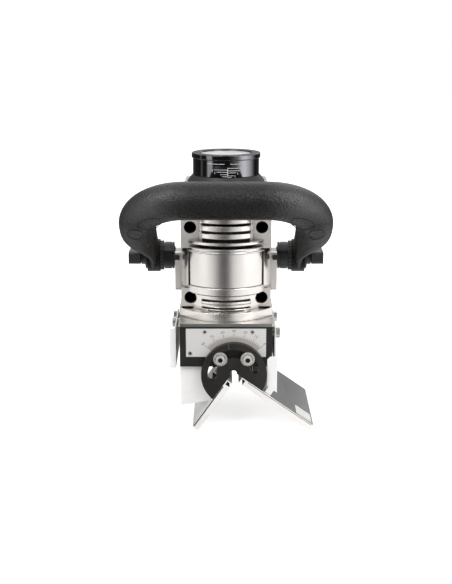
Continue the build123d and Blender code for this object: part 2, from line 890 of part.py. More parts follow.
# Angle scale, let into the front plate
with BuildPart() as scale_plate:
    with BuildSketch(facing(scale_thickness - front_plate_face)):
        with Locations((0, (scale_top + scale_bottom) / 2)):
            Rectangle(2 * scale_half, scale_height)
        with Locations((pivot_x, pivot_z)):
            Circle(scale_cutout, mode=Mode.SUBTRACT)
        with Locations(*scale_screw_spots):
            Circle(scale_screw_head, mode=Mode.SUBTRACT)
    extrude(amount=scale_thickness)
scale_plate.part.label = "scale_plate"
export_step(scale_plate.part, "parts/scale_plate.step")

with BuildPart() as scale_screws:
    with BuildSketch(facing(scale_thickness - front_plate_face)):
        with Locations(*scale_screw_spots):
            Circle(scale_screw_head)
    extrude(amount=scale_thickness)
    with BuildSketch(facing(scale_thickness - front_plate_face)):
        with Locations(*scale_screw_spots):
            Circle(scale_screw_shank)
    extrude(amount=-scale_screw_length)
scale_screws.part.label = "scale_screws"
export_step(scale_screws.part, "parts/scale_screws.step")

with BuildPart() as rear_plate:
    with BuildSketch(facing(rear_plate_face, carrier_bottom)):
        with Locations((0, carrier_height / 2)):
            Rectangle(2 * carrier_half, carrier_height)
        with Locations(*thread_spots):
            Circle(clamp_shank + play, mode=Mode.SUBTRACT)
    extrude(amount=rear_plate_thickness)
rear_plate.part.label = "rear_plate"
export_step(rear_plate.part, "parts/rear_plate.step")

# Side walls with their bosses, and the sheet guards that the knurled screws hold on them
guard_z = carrier_bottom + guard_screw_rise
guard_top = carrier_top - guard_top_drop
left_guard_bottom = pivot_z + sheet_top + left_guard_lift
right_guard_bottom = carrier_bottom - right_guard_drop
wall_rear = rear_plate_face - rear_plate_thickness
sides = (
    ("left", -1, left_guard_gap, left_screw_places, left_guard_bottom, left_guard_rear),
    ("right", 1, right_guard_gap, right_screw_places, right_guard_bottom, right_guard_rear),
)
for name, side, gap, places, bottom, rear in sides:
    with BuildPart() as side_wall:
        with BuildSketch(upright(side * (carrier_half - side_wall_thickness))):
            with Locations(((wall_rear - wall_front) / 2, (carrier_bottom + carrier_top) / 2)):
                Rectangle(wall_rear + wall_front, carrier_height)
        extrude(amount=side * side_wall_thickness)
        with BuildSketch(upright(side * carrier_half, guard_z)):
            with Locations(*[(y, 0) for y in places]):
                Circle(guard_boss_radius)
        extrude(amount=side * gap)
        with BuildSketch(upright(side * (carrier_half + gap), guard_z)):
            with Locations(*[(y, 0) for y in places]):
                Circle(guard_screw_shank + play)
        extrude(amount=-side * (gap + side_wall_thickness), mode=Mode.SUBTRACT)
    side_wall.part.label = f"{name}_side_wall"
    export_step(side_wall.part, f"parts/{name}_side_wall.step")

    with BuildPart() as side_guard:
        with BuildSketch(upright(side * (carrier_half + gap))):
            with Locations(((rear - wall_front) / 2, (bottom + guard_top) / 2)):
                RectangleRounded(rear + wall_front, guard_top - bottom, shield_corner)
            with Locations(*[(y, guard_z) for y in places]):
                Circle(guard_screw_shank + play, mode=Mode.SUBTRACT)
        extrude(amount=side * guard_sheet)
        # The left guard is folded outwards at its front edge
        if side < 0:
            with BuildSketch(facing(guard_sheet - wall_front)):
                with Locations((-carrier_half - gap - left_guard_width / 2, (bottom + guard_top) / 2)):
                    Rectangle(left_guard_width, guard_top - bottom)
            extrude(amount=guard_sheet)
    side_guard.part.label = f"{name}_guard"
    export_step(side_guard.part, f"parts/{name}_guard.step")

with BuildPart() as guard_screws:
    for name, side, gap, places, bottom, rear in sides:
        with BuildSketch(upright(side * (carrier_half + gap + guard_sheet), guard_z)):
            with Locations(*[(y, 0) for y in places]):
                Circle(guard_screw_radius)
                with PolarLocations(guard_screw_radius, guard_knurls):
                    Circle(guard_knurl_radius, mode=Mode.SUBTRACT)
        extrude(amount=side * guard_screw_head)
        with BuildSketch(upright(side * (carrier_half + gap + guard_sheet), guard_z)):
            with Locations(*[(y, 0) for y in places]):
                Circle(guard_screw_shank)
        extrude(amount=-side * (gap + guard_sheet + side_wall_thickness))
guard_screws.part.label = "guard_screws"
export_step(guard_screws.part, "parts/guard_screws.step")

# Clamp screws and washers, two in front of the front quadrant and two behind the rear one
clamp_spots = [(-clamp_x, clamp_z - pivot_z), (clamp_x, clamp_z - pivot_z)]
clamps = ((-1, quadrant_front, front_plate_face - front_plate_thickness), (1, quadrant_back, wall_rear))
with BuildPart() as clamp_washers:
    for direction, face, end in clamps:
        with BuildSketch(guide_plane(direction * (face + slip), 0)):
            with Locations(*clamp_spots):
                Circle(washer_radius)
                Circle(clamp_shank + play, mode=Mode.SUBTRACT)
        extrude(amount=-direction * washer_thickness)
clamp_washers.part.label = "clamp_washers"
export_step(clamp_washers.part, "parts/clamp_washers.step")

with BuildPart() as clamp_screws:
    for direction, face, end in clamps:
        seat = face + slip + washer_thickness
        with BuildSketch(guide_plane(direction * seat, 0)):
            with Locations(*clamp_spots):
                Circle(clamp_head)
        extrude(amount=-direction * clamp_head_height)
        with BuildSketch(guide_plane(direction * (seat + clamp_head_height), 0)):
            with Locations(*clamp_spots):
                RegularPolygon(clamp_socket, 6)
        extrude(amount=direction * clamp_socket_depth, mode=Mode.SUBTRACT)
        with BuildSketch(guide_plane(direction * seat, 0)):
            with Locations(*clamp_spots):
                Circle(clamp_shank)
        extrude(amount=direction * (seat - end))
clamp_screws.part.label = "clamp_screws"
export_step(clamp_screws.part, "parts/clamp_screws.step")

# Quadrants: discs that stand on the guide's V, each with an arc slot and an open notch
vee_top = sheet_top * sqrt(2)
slot_end_x = slot_radius * sin(radians(slot_half_angle))
slot_end_z = slot_radius * cos(radians(slot_half_angle))
for name, face in (("front_quadrant", -front_plate_face - slip), ("rear_quadrant", quadrant_back)):
    with BuildPart() as quadrant:
        with BuildSketch(guide_plane(face)):
            Circle(quadrant_radius)
            with BuildLine():
                Polyline(
                    (0, vee_top),
                    (quadrant_radius, vee_top - quadrant_radius),
                    (quadrant_radius, -quadrant_radius - overrun),
                    (-quadrant_radius, -quadrant_radius - overrun),
                    (-quadrant_radius, vee_top - quadrant_radius),
                    close=True,
                )
            make_face(mode=Mode.SUBTRACT)
            with Locations((0, (notch_top - notch_width / 2) / 2)):
                Rectangle(notch_width, notch_top - notch_width / 2, mode=Mode.SUBTRACT)
            with Locations((0, notch_top - notch_width / 2)):
                Circle(notch_width / 2, mode=Mode.SUBTRACT)
        extrude(amount=quadrant_thickness)
        with BuildSketch(guide_plane(face)):
            Circle(slot_radius + slot_width / 2)
            Circle(slot_radius - slot_width / 2, mode=Mode.SUBTRACT)
            with BuildLine():
                Polyline(
                    (0, 0),
                    (slot_end_x * 2, slot_end_z * 2),
                    (slot_end_x * 2, -quadrant_radius),
                    (-slot_end_x * 2, -quadrant_radius),
                    (-slot_end_x * 2, slot_end_z * 2),
                    close=True,
                )
            make_face(mode=Mode.SUBTRACT)
            with Locations((-slot_end_x, slot_end_z), (slot_end_x, slot_end_z)):
                Circle(slot_width / 2)
        extrude(amount=quadrant_thickness, mode=Mode.SUBTRACT)
    quadrant.part.label = name
    export_step(quadrant.part, f"parts/{name}.step")

# Guide bars and their folded sheets, open round the cutter
arms = (("left", -1, left_angle, left_arm, left_window), ("right", 1, right_angle, right_arm, right_window))
guide_length = guide_front + guide_rear
bar_start = arm_start + sheet_thickness + lip_gap
for name, side, angle, length, window in arms:
    with BuildPart() as guide_bar:
        with BuildSketch(arm_plane(side, angle)):
            with Locations(((bar_start + length) / 2, bar_thickness / 2 - bar_drop)):
                Rectangle(length - bar_start, bar_thickness)
        extrude(amount=guide_length)
        with BuildSketch(arm_top(side, angle, sheet_top)):
            with Locations((window / 2, 0)):
                RectangleRounded(window, 2 * window_half, window_corner)
            with Locations((window / 4, 0)):
                Rectangle(window / 2, 2 * window_half)
        extrude(amount=-sheet_top - bar_drop - overrun, mode=Mode.SUBTRACT)
        ends = guide_bar.edges().filter_by(Axis.Y).sort_by_distance((pivot_x, spindle_y, pivot_z))
        chamfer(ends[-1], bar_edge)
    guide_bar.part.label = f"{name}_guide_bar"
    export_step(guide_bar.part, f"parts/{name}_guide_bar.step")

    with BuildPart() as guide_sheet:
        with BuildSketch(arm_plane(side, angle)):
            with BuildLine():
                Polyline(
                    (arm_start, sheet_top - lip_depth),
                    (arm_start, sheet_top),
                    (length, sheet_top),
                    (length, sheet_top - sheet_thickness),
                    (arm_start + sheet_thickness, sheet_top - sheet_thickness),
                    (arm_start + sheet_thickness, sheet_top - lip_depth),
                    close=True,
                )
            make_face()
        extrude(amount=guide_length)
        with BuildSketch(arm_top(side, angle, sheet_top)):
            with Locations((window / 2, 0)):
                RectangleRounded(window, 2 * window_half, window_corner)
            with Locations((window / 4, 0)):
                Rectangle(window / 2, 2 * window_half)
        extrude(amount=-lip_depth - overrun, mode=Mode.SUBTRACT)
    guide_sheet.part.label = f"{name}_guide_sheet"
    export_step(guide_sheet.part, f"parts/{name}_guide_sheet.step")

# Left chip shield, a sheet that stands on the left guide just behind the front plate
left_frame = Plane(
    origin=(pivot_x, spindle_y - shield_front, pivot_z),
    x_dir=(-cos(radians(left_angle)), 0, -sin(radians(left_angle))),
    z_dir=(0, 1, 0),
)
foot_middle = (left_foot_start + left_foot_end) / 2
left_shield_corners = [(a * left_arm, sheet_top + b * left_shield_rise) for a, b in left_shield_shares]
with BuildPart() as left_chip_shield:
    with BuildSketch(left_frame):
        with BuildLine():
            Polyline(*left_shield_corners, close=True)
        make_face()
    extrude(amount=shield_thickness)
    with BuildSketch(arm_top(-1, left_angle, sheet_top)):
        with Locations((foot_middle, shield_front - foot_depth / 2)):
            Rectangle(left_foot_end - left_foot_start, foot_depth)
    extrude(amount=shield_thickness)
left_chip_shield.part.label = "left_chip_shield"
export_step(left_chip_shield.part, "parts/left_chip_shield.step")

# Right chip shield, in front of the front plate beside the quadrant
right_left_x = pivot_x + quadrant_radius + slip
right_right_x = right_left_x + right_shield_width
tan_right = tan(radians(right_angle))
sheet_line = pivot_z + sheet_top / cos(radians(right_angle))
shield_line = sheet_line + right_shield_lift / cos(radians(right_angle))
right_shield_face = quadrant_front - right_shield_setback
with BuildPart() as right_chip_shield:
    with BuildSketch(facing(shield_thickness - right_shield_face)):
        with BuildLine():
            Polyline(
                (right_left_x, shield_line - (right_left_x - pivot_x) * tan_right),
                (right_right_x, shield_line - (right_right_x - pivot_x) * tan_right),
                (right_right_x, pivot_z + right_shield_rise),
                (right_left_x + right_shield_corner, pivot_z + right_shield_rise),
                (right_left_x, pivot_z + right_shield_rise - right_shield_corner),
                close=True,
            )
        make_face()
    extrude(amount=shield_thickness)
    # Leg and foot, down the guide's slope
    with BuildSketch(arm_top(1, right_angle, sheet_top)):
        with Locations(((right_leg_start + right_leg_end) / 2, shield_thickness / 2 - right_shield_face)):
            Rectangle(right_leg_end - right_leg_start, shield_thickness)
    extrude(amount=right_shield_lift + overrun)
    with BuildSketch(arm_top(1, right_angle, sheet_top)):
        with Locations(((right_leg_start + right_leg_end) / 2, foot_depth / 2 - right_shield_face)):
            Rectangle(right_leg_end - right_leg_start, foot_depth)
    extrude(amount=shield_thickness)
right_chip_shield.part.label = "right_chip_shield"
export_step(right_chip_shield.part, "parts/right_chip_shield.step")

# Small screws on the feet of both shields
with BuildPart() as shield_screws:
    with BuildSketch(arm_top(-1, left_angle, sheet_top + shield_thickness)):
        with Locations(((left_foot_start * 3 + left_foot_end) / 4, shield_front - foot_depth * 2 / 3),
                       ((left_foot_start + left_foot_end * 3) / 4, shield_front - foot_depth * 2 / 3)):
            Circle(foot_screw_radius)
    extrude(amount=foot_screw_height)
    with BuildSketch(arm_top(1, right_angle, sheet_top + shield_thickness)):
        with Locations(((right_leg_start + right_leg_end) / 2, foot_depth * 2 / 3 - right_shield_face)):
            Circle(foot_screw_radius)
    extrude(amount=foot_screw_height)
shield_screws.part.label = "shield_screws"
export_step(shield_screws.part, "parts/shield_screws.step")

# Bow handle: a round grip bent to a bow, drawn down to two flat lugs
tilt = radians(handle_tilt)
bow = Plane(origin=(0, spindle_y, handle_z), x_dir=(1, 0, 0), z_dir=(0, -sin(tilt), -cos(tilt)))
handle_axis = Axis((0, spindle_y, handle_z), (1, 0, 0))
arm_x = handle_half_width - grip_radius
corner_start = handle_reach - handle_corner
lug_middle = (lug_inner + lug_outer) / 2
lug_half = (lug_outer - lug_inner) / 2
arm_middle_x = lug_middle + arm_middle_shift * (arm_x - lug_middle)
arm_neck_reach = arm_neck_share * corner_start
arm_sections = (
    (corner_start, arm_x, grip_radius, grip_radius),
    (arm_full_share * corner_start, arm_x, grip_radius, grip_radius),
    (arm_middle_share * corner_start, arm_middle_x, arm_middle_half, arm_middle_depth),
    (arm_neck_reach, lug_middle, lug_half - arm_neck_inset, lug_radius),
    (arm_neck_reach / 2, lug_middle, lug_half - arm_neck_inset, lug_radius),
    (0, lug_middle, lug_half - arm_neck_inset, lug_radius),
)


def arm_section(x, reach):
    """A plane across a handle arm, at x and at a distance from the pivot."""
    return Plane(origin=bow.from_local_coords((x, reach, 0)), x_dir=(1, 0, 0), z_dir=bow.y_dir)


with BuildPart() as handle_grip:
    with BuildLine(bow) as bar_line:
        FilletPolyline(
            (-arm_x, corner_start),
            (-arm_x, handle_reach),
            (arm_x, handle_reach),
            (arm_x, corner_start),
            radius=handle_corner - play,
        )
    with BuildSketch(arm_section(-arm_x, corner_start)):
        Circle(grip_radius)
    sweep(path=bar_line.wire())
    for side in (-1, 1):
        for reach, x, half, depth in arm_sections:
            with BuildSketch(arm_section(side * x, reach)):
                if half == depth:
                    Circle(half)
                else:
                    Ellipse(half, depth)
        loft()
        with BuildSketch(upright(side * lug_inner, handle_z)):
            Circle(lug_radius)
        extrude(amount=side * (lug_outer - lug_inner))
        with BuildSketch(upright(side * (lug_inner - overrun), handle_z)):
            Circle(pivot_bolt + running)
        extrude(amount=side * (lug_outer - lug_inner + 2 * overrun), mode=Mode.SUBTRACT)
handle_grip.part.label = "handle_grip"
export_step(handle_grip.part, "parts/handle_grip.step")

# Hubs between the housing's bosses and the handle, a toothed disc and a grooved drum
hub_face = lug_inner - slip
with BuildPart() as handle_hubs:
    for side in (-1, 1):
        with BuildSketch(level(handle_z)):
            with BuildLine():
                Polyline(
                    (side * boss_outer, pivot_bolt + play),
                    (side * boss_outer, hub_shaft),
                    (side * (boss_outer + hub_groove_width), hub_shaft),
                    (side * (boss_outer + hub_groove_width), hub_ring_radius),
                    (side * (boss_outer + hub_groove_width + hub_ring), hub_ring_radius),
                    (side * (boss_outer + hub_groove_width + hub_ring), hub_groove),
                    (side * (boss_outer + 2 * hub_groove_width + hub_ring), hub_groove),
                    (side * (boss_outer + 2 * hub_groove_width + hub_ring), hub_ring_radius),
                    (side * (hub_face - hub_disc - hub_groove_width), hub_ring_radius),
                    (side * (hub_face - hub_disc - hub_groove_width), hub_groove),
                    (side * (hub_face - hub_disc), hub_groove),
                    (side * (hub_face - hub_disc), hub_radius),
                    (side * hub_face, hub_radius),
                    (side * hub_face, pivot_bolt + play),
                    close=True,
                )
            make_face()
        revolve(axis=handle_axis)
        with BuildSketch(upright(side * hub_face, handle_z)):
            with PolarLocations(hub_radius, hub_teeth):
                Circle(hub_tooth_radius)
        extrude(amount=-side * hub_disc, mode=Mode.SUBTRACT)
handle_hubs.part.label = "handle_hubs"
export_step(handle_hubs.part, "parts/handle_hubs.step")

for name, side in (("left", -1), ("right", 1)):
    # Clamp knob: a flange, a neck and a flat wing
    with BuildPart() as clamp_knob:
        with BuildSketch(upright(side * (lug_outer + slip), handle_z)):
            Circle(knob_flange_radius)
        extrude(amount=side * knob_flange)
        with BuildSketch(upright(side * (lug_outer + slip + knob_flange), handle_z)):
            Circle(knob_neck)
        extrude(amount=side * knob_neck_length)
        wing_start = lug_outer + slip + knob_flange + knob_neck_length
        with BuildSketch(upright(side * wing_start, handle_z)):
            RectangleRounded(2 * wing_half_length, wing_thickness, wing_corner)
        extrude(amount=side * (wing_tip - wing_start))
        with BuildSketch(upright(side * (lug_outer + slip), handle_z)):
            Circle(pivot_bolt + running)
        extrude(amount=side * knob_bore_length, mode=Mode.SUBTRACT)
    clamp_knob.part.label = f"{name}_clamp_knob"
    export_step(clamp_knob.part, f"parts/{name}_clamp_knob.step")

with BuildPart() as pivot_bolts:
    for side in (-1, 1):
        with BuildSketch(upright(side * (boss_outer + chamber_radius) / 2, handle_z)):
            Circle(pivot_bolt)
        extrude(amount=side * (lug_outer + knob_bore_length - slip - (boss_outer + chamber_radius) / 2))
pivot_bolts.part.label = "pivot_bolts"
export_step(pivot_bolts.part, "parts/pivot_bolts.step")


def barrel_radius(y):
    """Outer radius of the motor barrel, which tapers to the rear."""
    share = (y - motor_face - motor_flange) / (barrel_end - motor_face - motor_flange)
    return barrel_front_radius + share * (barrel_rear_radius - barrel_front_radius)


def spoke(y, turn):
    """A plane through the motor axis at y whose normal points out at an angle from straight up."""
    a = radians(turn)
    return Plane(origin=(0, spindle_y + y, motor_z), x_dir=(0, 1, 0), z_dir=(sin(a), 0, cos(a)))


barrel_start = motor_face + motor_flange
bulkhead_rear = bulkhead_face + motor_bearing_width + bulkhead_lip
switch_seat = barrel_radius(switch_start + switch_length + switch_play) - switch_pocket
pocket_middle = switch_start + (switch_length - switch_travel) / 2
pocket_length = switch_length + switch_travel + 2 * switch_play
tail_screw_y = barrel_end - spigot_length / 2
tail_screw_seat = barrel_radius(barrel_end) - tail_screw_head_height
with BuildPart() as motor_housing:
    with BuildSketch(facing(motor_face, motor_z)):
        RectangleRounded(2 * flange_square_half, 2 * flange_square_half, motor_flange_corner)
    extrude(amount=-motor_flange)
    with BuildSketch(upright(0, motor_z)):
        with BuildLine():
            Polyline(
                (barrel_start - motor_flange / 2, 0),
                (barrel_start - motor_flange / 2, barrel_front_radius),
                (barrel_start, barrel_front_radius),
                (barrel_end, barrel_rear_radius),
                (barrel_end, 0),
                close=True,
            )
        make_face()
    revolve(axis=motor_axis)
    # Room for the motor, for its two bearings' air, and behind the bulkhead
    with BuildSketch(upright(0, motor_z)):
        with BuildLine():
            Polyline(
                (barrel_start, 0),
                (barrel_start, barrel_front_radius - barrel_wall),
                (bulkhead_face, barrel_radius(bulkhead_face) - barrel_wall),
                (bulkhead_face, 0),
                close=True,
            )
        make_face()
    revolve(axis=motor_axis, mode=Mode.SUBTRACT)
    with BuildSketch(facing(motor_face, motor_z)):
        Circle(motor_bore)
    extrude(amount=-motor_flange, mode=Mode.SUBTRACT)
    with BuildSketch(facing(bulkhead_face, motor_z)):
        Circle(motor_bearing_outer)
    extrude(amount=-motor_bearing_width, mode=Mode.SUBTRACT)
    with BuildSketch(facing(bulkhead_face, motor_z)):
        Circle(bulkhead_passage)
    extrude(amount=-(bulkhead_rear - bulkhead_face), mode=Mode.SUBTRACT)
    with BuildSketch(facing(bulkhead_rear, motor_z)):
        Circle(spigot_radius)
    extrude(amount=-(barrel_end - bulkhead_rear), mode=Mode.SUBTRACT)
    # Threads for the housing screws
    with BuildSketch(facing(motor_face, motor_z)):
        with GridLocations(screw_square, screw_square, 2, 2):
            Circle(housing_screw_shank + play)
    extrude(amount=-housing_screw_grip, mode=Mode.SUBTRACT)
    # Air outlets round the fan
    for i in range(vent_count):
        with BuildSketch(spoke(vent_start + vent_length / 2, (i + 1 / 2) * 360 / vent_count)):
            SlotOverall(vent_length, vent_width)
        extrude(amount=barrel_front_radius + overrun, mode=Mode.SUBTRACT)
    # Flat seat and slot for the switch on the left
    with BuildSketch(upright(-switch_seat, motor_z)):
        with Locations((pocket_middle, 0)):
            RectangleRounded(pocket_length, switch_width + 2 * switch_play, switch_corner)
    extrude(amount=-barrel_front_radius / 4, mode=Mode.SUBTRACT)
    with BuildSketch(upright(-switch_seat, motor_z)):
        with Locations((pocket_middle, 0)):
            Rectangle(switch_travel + 2 * switch_stem, switch_slot)
    extrude(amount=2 * barrel_wall, mode=Mode.SUBTRACT)
    # Seats for the screws of the tail cover
    for i in range(tail_screw_count):
        turn = (i + 1 / 2) * 360 / tail_screw_count
        with BuildSketch(spoke(tail_screw_y, turn).offset(tail_screw_seat)):
            Circle(tail_screw_head + play)
        extrude(amount=barrel_wall, mode=Mode.SUBTRACT)
        with BuildSketch(spoke(tail_screw_y, turn)):
            Circle(tail_screw_shank + play)
        extrude(amount=barrel_rear_radius, mode=Mode.SUBTRACT)
motor_housing.part.label = "motor_housing"
export_step(motor_housing.part, "parts/motor_housing.step")

# Tail cover with its spigot, rounded rear and air inlets
tail_cover_end = tail_end - inlet_lip
with BuildPart() as tail_cover:
    with BuildSketch(upright(0, motor_z)):
        with BuildLine():
            Polyline(
                (barrel_end - spigot_length, spigot_radius - spigot_wall),
                (barrel_end - spigot_length, spigot_radius),
                (barrel_end, spigot_radius),
                (barrel_end, barrel_rear_radius),
                (tail_shoulder, barrel_rear_radius),
            )
            ThreePointArc(
                (tail_shoulder, barrel_rear_radius),
                ((tail_shoulder + 2 * tail_cover_end) / 3, (barrel_rear_radius * 2 + tail_rear_radius) / 3),
                (tail_cover_end, tail_rear_radius),
            )
            Polyline(
                (tail_cover_end, tail_rear_radius),
                (tail_cover_end, inlet_radius),
                (tail_cover_end - tail_wall, inlet_radius),
                (tail_cover_end - tail_wall, tail_rear_radius - tail_wall),
                (tail_shoulder, spigot_radius - spigot_wall),
                (barrel_end - spigot_length, spigot_radius - spigot_wall),
            )
        make_face()
    revolve(axis=motor_axis)
    for i in range(vent_count):
        with BuildSketch(spoke(tail_vent_start + tail_vent_length / 2, i * 360 / vent_count)):
            SlotOverall(tail_vent_length, vent_width)
        extrude(amount=barrel_rear_radius + overrun, mode=Mode.SUBTRACT)
    for i in range(tail_screw_count):
        with BuildSketch(spoke(tail_screw_y, (i + 1 / 2) * 360 / tail_screw_count)):
            Circle(tail_screw_shank + play)
        extrude(amount=barrel_rear_radius, mode=Mode.SUBTRACT)
tail_cover.part.label = "tail_cover"
export_step(tail_cover.part, "parts/tail_cover.step")

with BuildPart() as tail_screws:
    for i in range(tail_screw_count):
        turn = (i + 1 / 2) * 360 / tail_screw_count
        with BuildSketch(spoke(tail_screw_y, turn).offset(spigot_radius - spigot_wall)):
            Circle(tail_screw_shank)
        extrude(amount=tail_screw_seat - spigot_radius + spigot_wall)
        with BuildSketch(spoke(tail_screw_y, turn).offset(tail_screw_seat)):
            Circle(tail_screw_head)
        extrude(amount=tail_screw_head_height)
tail_screws.part.label = "tail_screws"
export_step(tail_screws.part, "parts/tail_screws.step")

with BuildPart() as cable_inlet:
    with BuildSketch(facing(tail_end - inlet_length, motor_z)):
        Circle(inlet_radius)
        Circle(inlet_bore, mode=Mode.SUBTRACT)
    extrude(amount=-inlet_length)
    with BuildSketch(facing(tail_cover_end, motor_z)):
        Circle(inlet_radius + inlet_lip)
        Circle(inlet_radius, mode=Mode.SUBTRACT)
    extrude(amount=-inlet_lip)
cable_inlet.part.label = "cable_inlet"
export_step(cable_inlet.part, "parts/cable_inlet.step")

# Slide switch with ribs, its stem in the slot
with BuildPart() as switch_slider:
    with BuildSketch(upright(-switch_seat - slip, motor_z)):
        with Locations((switch_start + switch_length / 2, 0)):
            RectangleRounded(switch_length, switch_width, switch_corner)
    extrude(amount=-switch_height + switch_rib_height)
    with BuildSketch(upright(-switch_seat - slip - switch_height + switch_rib_height, motor_z)):
        with Locations((switch_start + switch_length / 2, 0)):
            with GridLocations(2 * switch_rib_width, 0, switch_ribs, 1):
                Rectangle(switch_rib_width, switch_width - 2 * switch_corner)
    extrude(amount=-switch_rib_height)
    with BuildSketch(upright(-switch_seat - slip, motor_z)):
        with Locations((pocket_middle + switch_travel / 2, 0)):
            Rectangle(switch_stem, switch_stem)
    extrude(amount=switch_stem_reach)
switch_slider.part.label = "switch_slider"
export_step(switch_slider.part, "parts/switch_slider.step")

# Switch unit, behind the bulkhead
with BuildPart() as switch_module:
    with BuildSketch(facing(bulkhead_rear, motor_z)):
        RectangleRounded(2 * module_half_width, 2 * module_half_height, switch_pocket)
    extrude(amount=-module_length)
switch_module.part.label = "switch_module"
export_step(switch_module.part, "parts/switch_module.step")

# Stator and its end windings
stator_end = stator_start + stator_length
with BuildPart() as stator_core:
    with BuildSketch(facing(stator_start, motor_z)):
        Circle(stator_outer)
        Circle(stator_inner, mode=Mode.SUBTRACT)
    extrude(amount=-stator_length)
stator_core.part.label = "stator_core"
export_step(stator_core.part, "parts/stator_core.step")

with BuildPart() as stator_windings:
    for y in (stator_start - winding_overhang, stator_end):
        with BuildSketch(facing(y, motor_z)):
            Circle(stator_outer - winding_margin)
            Circle(stator_inner + winding_margin, mode=Mode.SUBTRACT)
        extrude(amount=-winding_overhang)
stator_windings.part.label = "stator_windings"
export_step(stator_windings.part, "parts/stator_windings.step")

# Armature: shaft, pinion, core, windings, commutator and fan
pinion_inner = crown_pitch * gear_inner_share
pinion_root = pinion_pitch - dedendum_share * gear_module
pinion_end = motor_face - motor_bearing_width - slip
with BuildPart() as armature_shaft:
    with BuildSketch(upright(0, motor_z)):
        with BuildLine():
            Polyline(
                (pinion_inner - pinion_tip, 0),
                (pinion_inner - pinion_tip, pinion_shaft),
                (pinion_end, pinion_shaft),
                (pinion_end, shaft_radius),
                (bulkhead_face + motor_bearing_width, shaft_radius),
                (bulkhead_face + motor_bearing_width, 0),
                close=True,
            )
        make_face()
    revolve(axis=motor_axis)
armature_shaft.part.label = "armature_shaft"
export_step(armature_shaft.part, "parts/armature_shaft.step")

# One tooth of the pinion, hanging down into the crown gear
with BuildPart() as pinion_tooth:
    for scale in (1, gear_inner_share):
        tooth_place = Plane(
            origin=(0, spindle_y + crown_pitch * scale, motor_z - pinion_pitch * scale),
            x_dir=(1, 0, 0),
            z_dir=(0, 1, 0),
        )
        with BuildSketch(tooth_place):
            with BuildLine():
                Polyline(*tooth_outline(scale), close=True)
            make_face()
    loft(ruled=True)

with BuildPart() as pinion:
    with BuildSketch(upright(0, motor_z)):
        with BuildLine():
            Polyline(
                (pinion_inner, pinion_shaft),
                (pinion_inner, pinion_root * gear_inner_share),
                (crown_pitch, pinion_root),
                (crown_pitch, pinion_hub),
                (pinion_end, pinion_hub),
                (pinion_end, pinion_shaft),
                close=True,
            )
        make_face()
    revolve(axis=motor_axis)
    add([pinion_tooth.part.rotate(motor_axis, i * 360 / pinion_teeth) for i in range(pinion_teeth)])
pinion.part.label = "pinion"
export_step(pinion.part, "parts/pinion.step")

rotor_radius = stator_inner - air_gap
with BuildPart() as rotor_core:
    with BuildSketch(facing(stator_start, motor_z)):
        Circle(rotor_radius)
        Circle(shaft_radius, mode=Mode.SUBTRACT)
    extrude(amount=-stator_length)
rotor_core.part.label = "rotor_core"
export_step(rotor_core.part, "parts/rotor_core.step")

with BuildPart() as rotor_windings:
    for y in (stator_start - winding_overhang, stator_end):
        with BuildSketch(facing(y, motor_z)):
            Circle(rotor_winding_radius)
            Circle(shaft_radius, mode=Mode.SUBTRACT)
        extrude(amount=-winding_overhang)
rotor_windings.part.label = "rotor_windings"
export_step(rotor_windings.part, "parts/rotor_windings.step")

with BuildPart() as commutator:
    with BuildSketch(facing(commutator_start, motor_z)):
        Circle(commutator_radius)
        Circle(shaft_radius, mode=Mode.SUBTRACT)
        with PolarLocations(commutator_radius, commutator_bars):
            Rectangle(2 * commutator_slot_depth, commutator_slot, mode=Mode.SUBTRACT)
    extrude(amount=-commutator_length)
commutator.part.label = "commutator"
export_step(commutator.part, "parts/commutator.step")

blade_root = (fan_hub + shaft_radius) / 2
blade_tip = fan_radius - fan_plate
with BuildPart() as fan:
    with BuildSketch(facing(fan_start, motor_z)):
        Circle(fan_hub)
        Circle(shaft_radius, mode=Mode.SUBTRACT)
    extrude(amount=-fan_width)
    with BuildSketch(facing(fan_start + fan_width - fan_plate, motor_z)):
        Circle(fan_radius)
        Circle(fan_hub, mode=Mode.SUBTRACT)
    extrude(amount=-fan_plate)
    with BuildSketch(facing(fan_start, motor_z)):
        with PolarLocations((blade_root + blade_tip) / 2, fan_blades):
            Rectangle(blade_tip - blade_root, blade_thickness)
    extrude(amount=-fan_width)
fan.part.label = "fan"
export_step(fan.part, "parts/fan.step")

# Brush holders either side of the commutator, with the carbon brushes in them
brush_y = commutator_start + commutator_length / 2
brush_start = commutator_radius + slip
with BuildPart() as brush_holders:
    for side in (-1, 1):
        with BuildSketch(upright(side * holder_start, motor_z)):
            with Locations((brush_y, 0)):
                Rectangle(brush_depth + 2 * holder_wall, brush_width + 2 * holder_wall)
                Rectangle(brush_depth, brush_width, mode=Mode.SUBTRACT)
        extrude(amount=side * (holder_end - holder_start))
brush_holders.part.label = "brush_holders"
export_step(brush_holders.part, "parts/brush_holders.step")

with BuildPart() as carbon_brushes:
    for side in (-1, 1):
        with BuildSketch(upright(side * brush_start, motor_z)):
            with Locations((brush_y, 0)):
                Rectangle(brush_depth, brush_width)
        extrude(amount=side * brush_length)
carbon_brushes.part.label = "carbon_brushes"
export_step(carbon_brushes.part, "parts/carbon_brushes.step")
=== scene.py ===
"""Looks of the edge beveling machine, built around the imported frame. Lengths are in metres."""
import json
import math

import bmesh
import bpy
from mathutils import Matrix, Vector
from mathutils.bvhtree import BVHTree


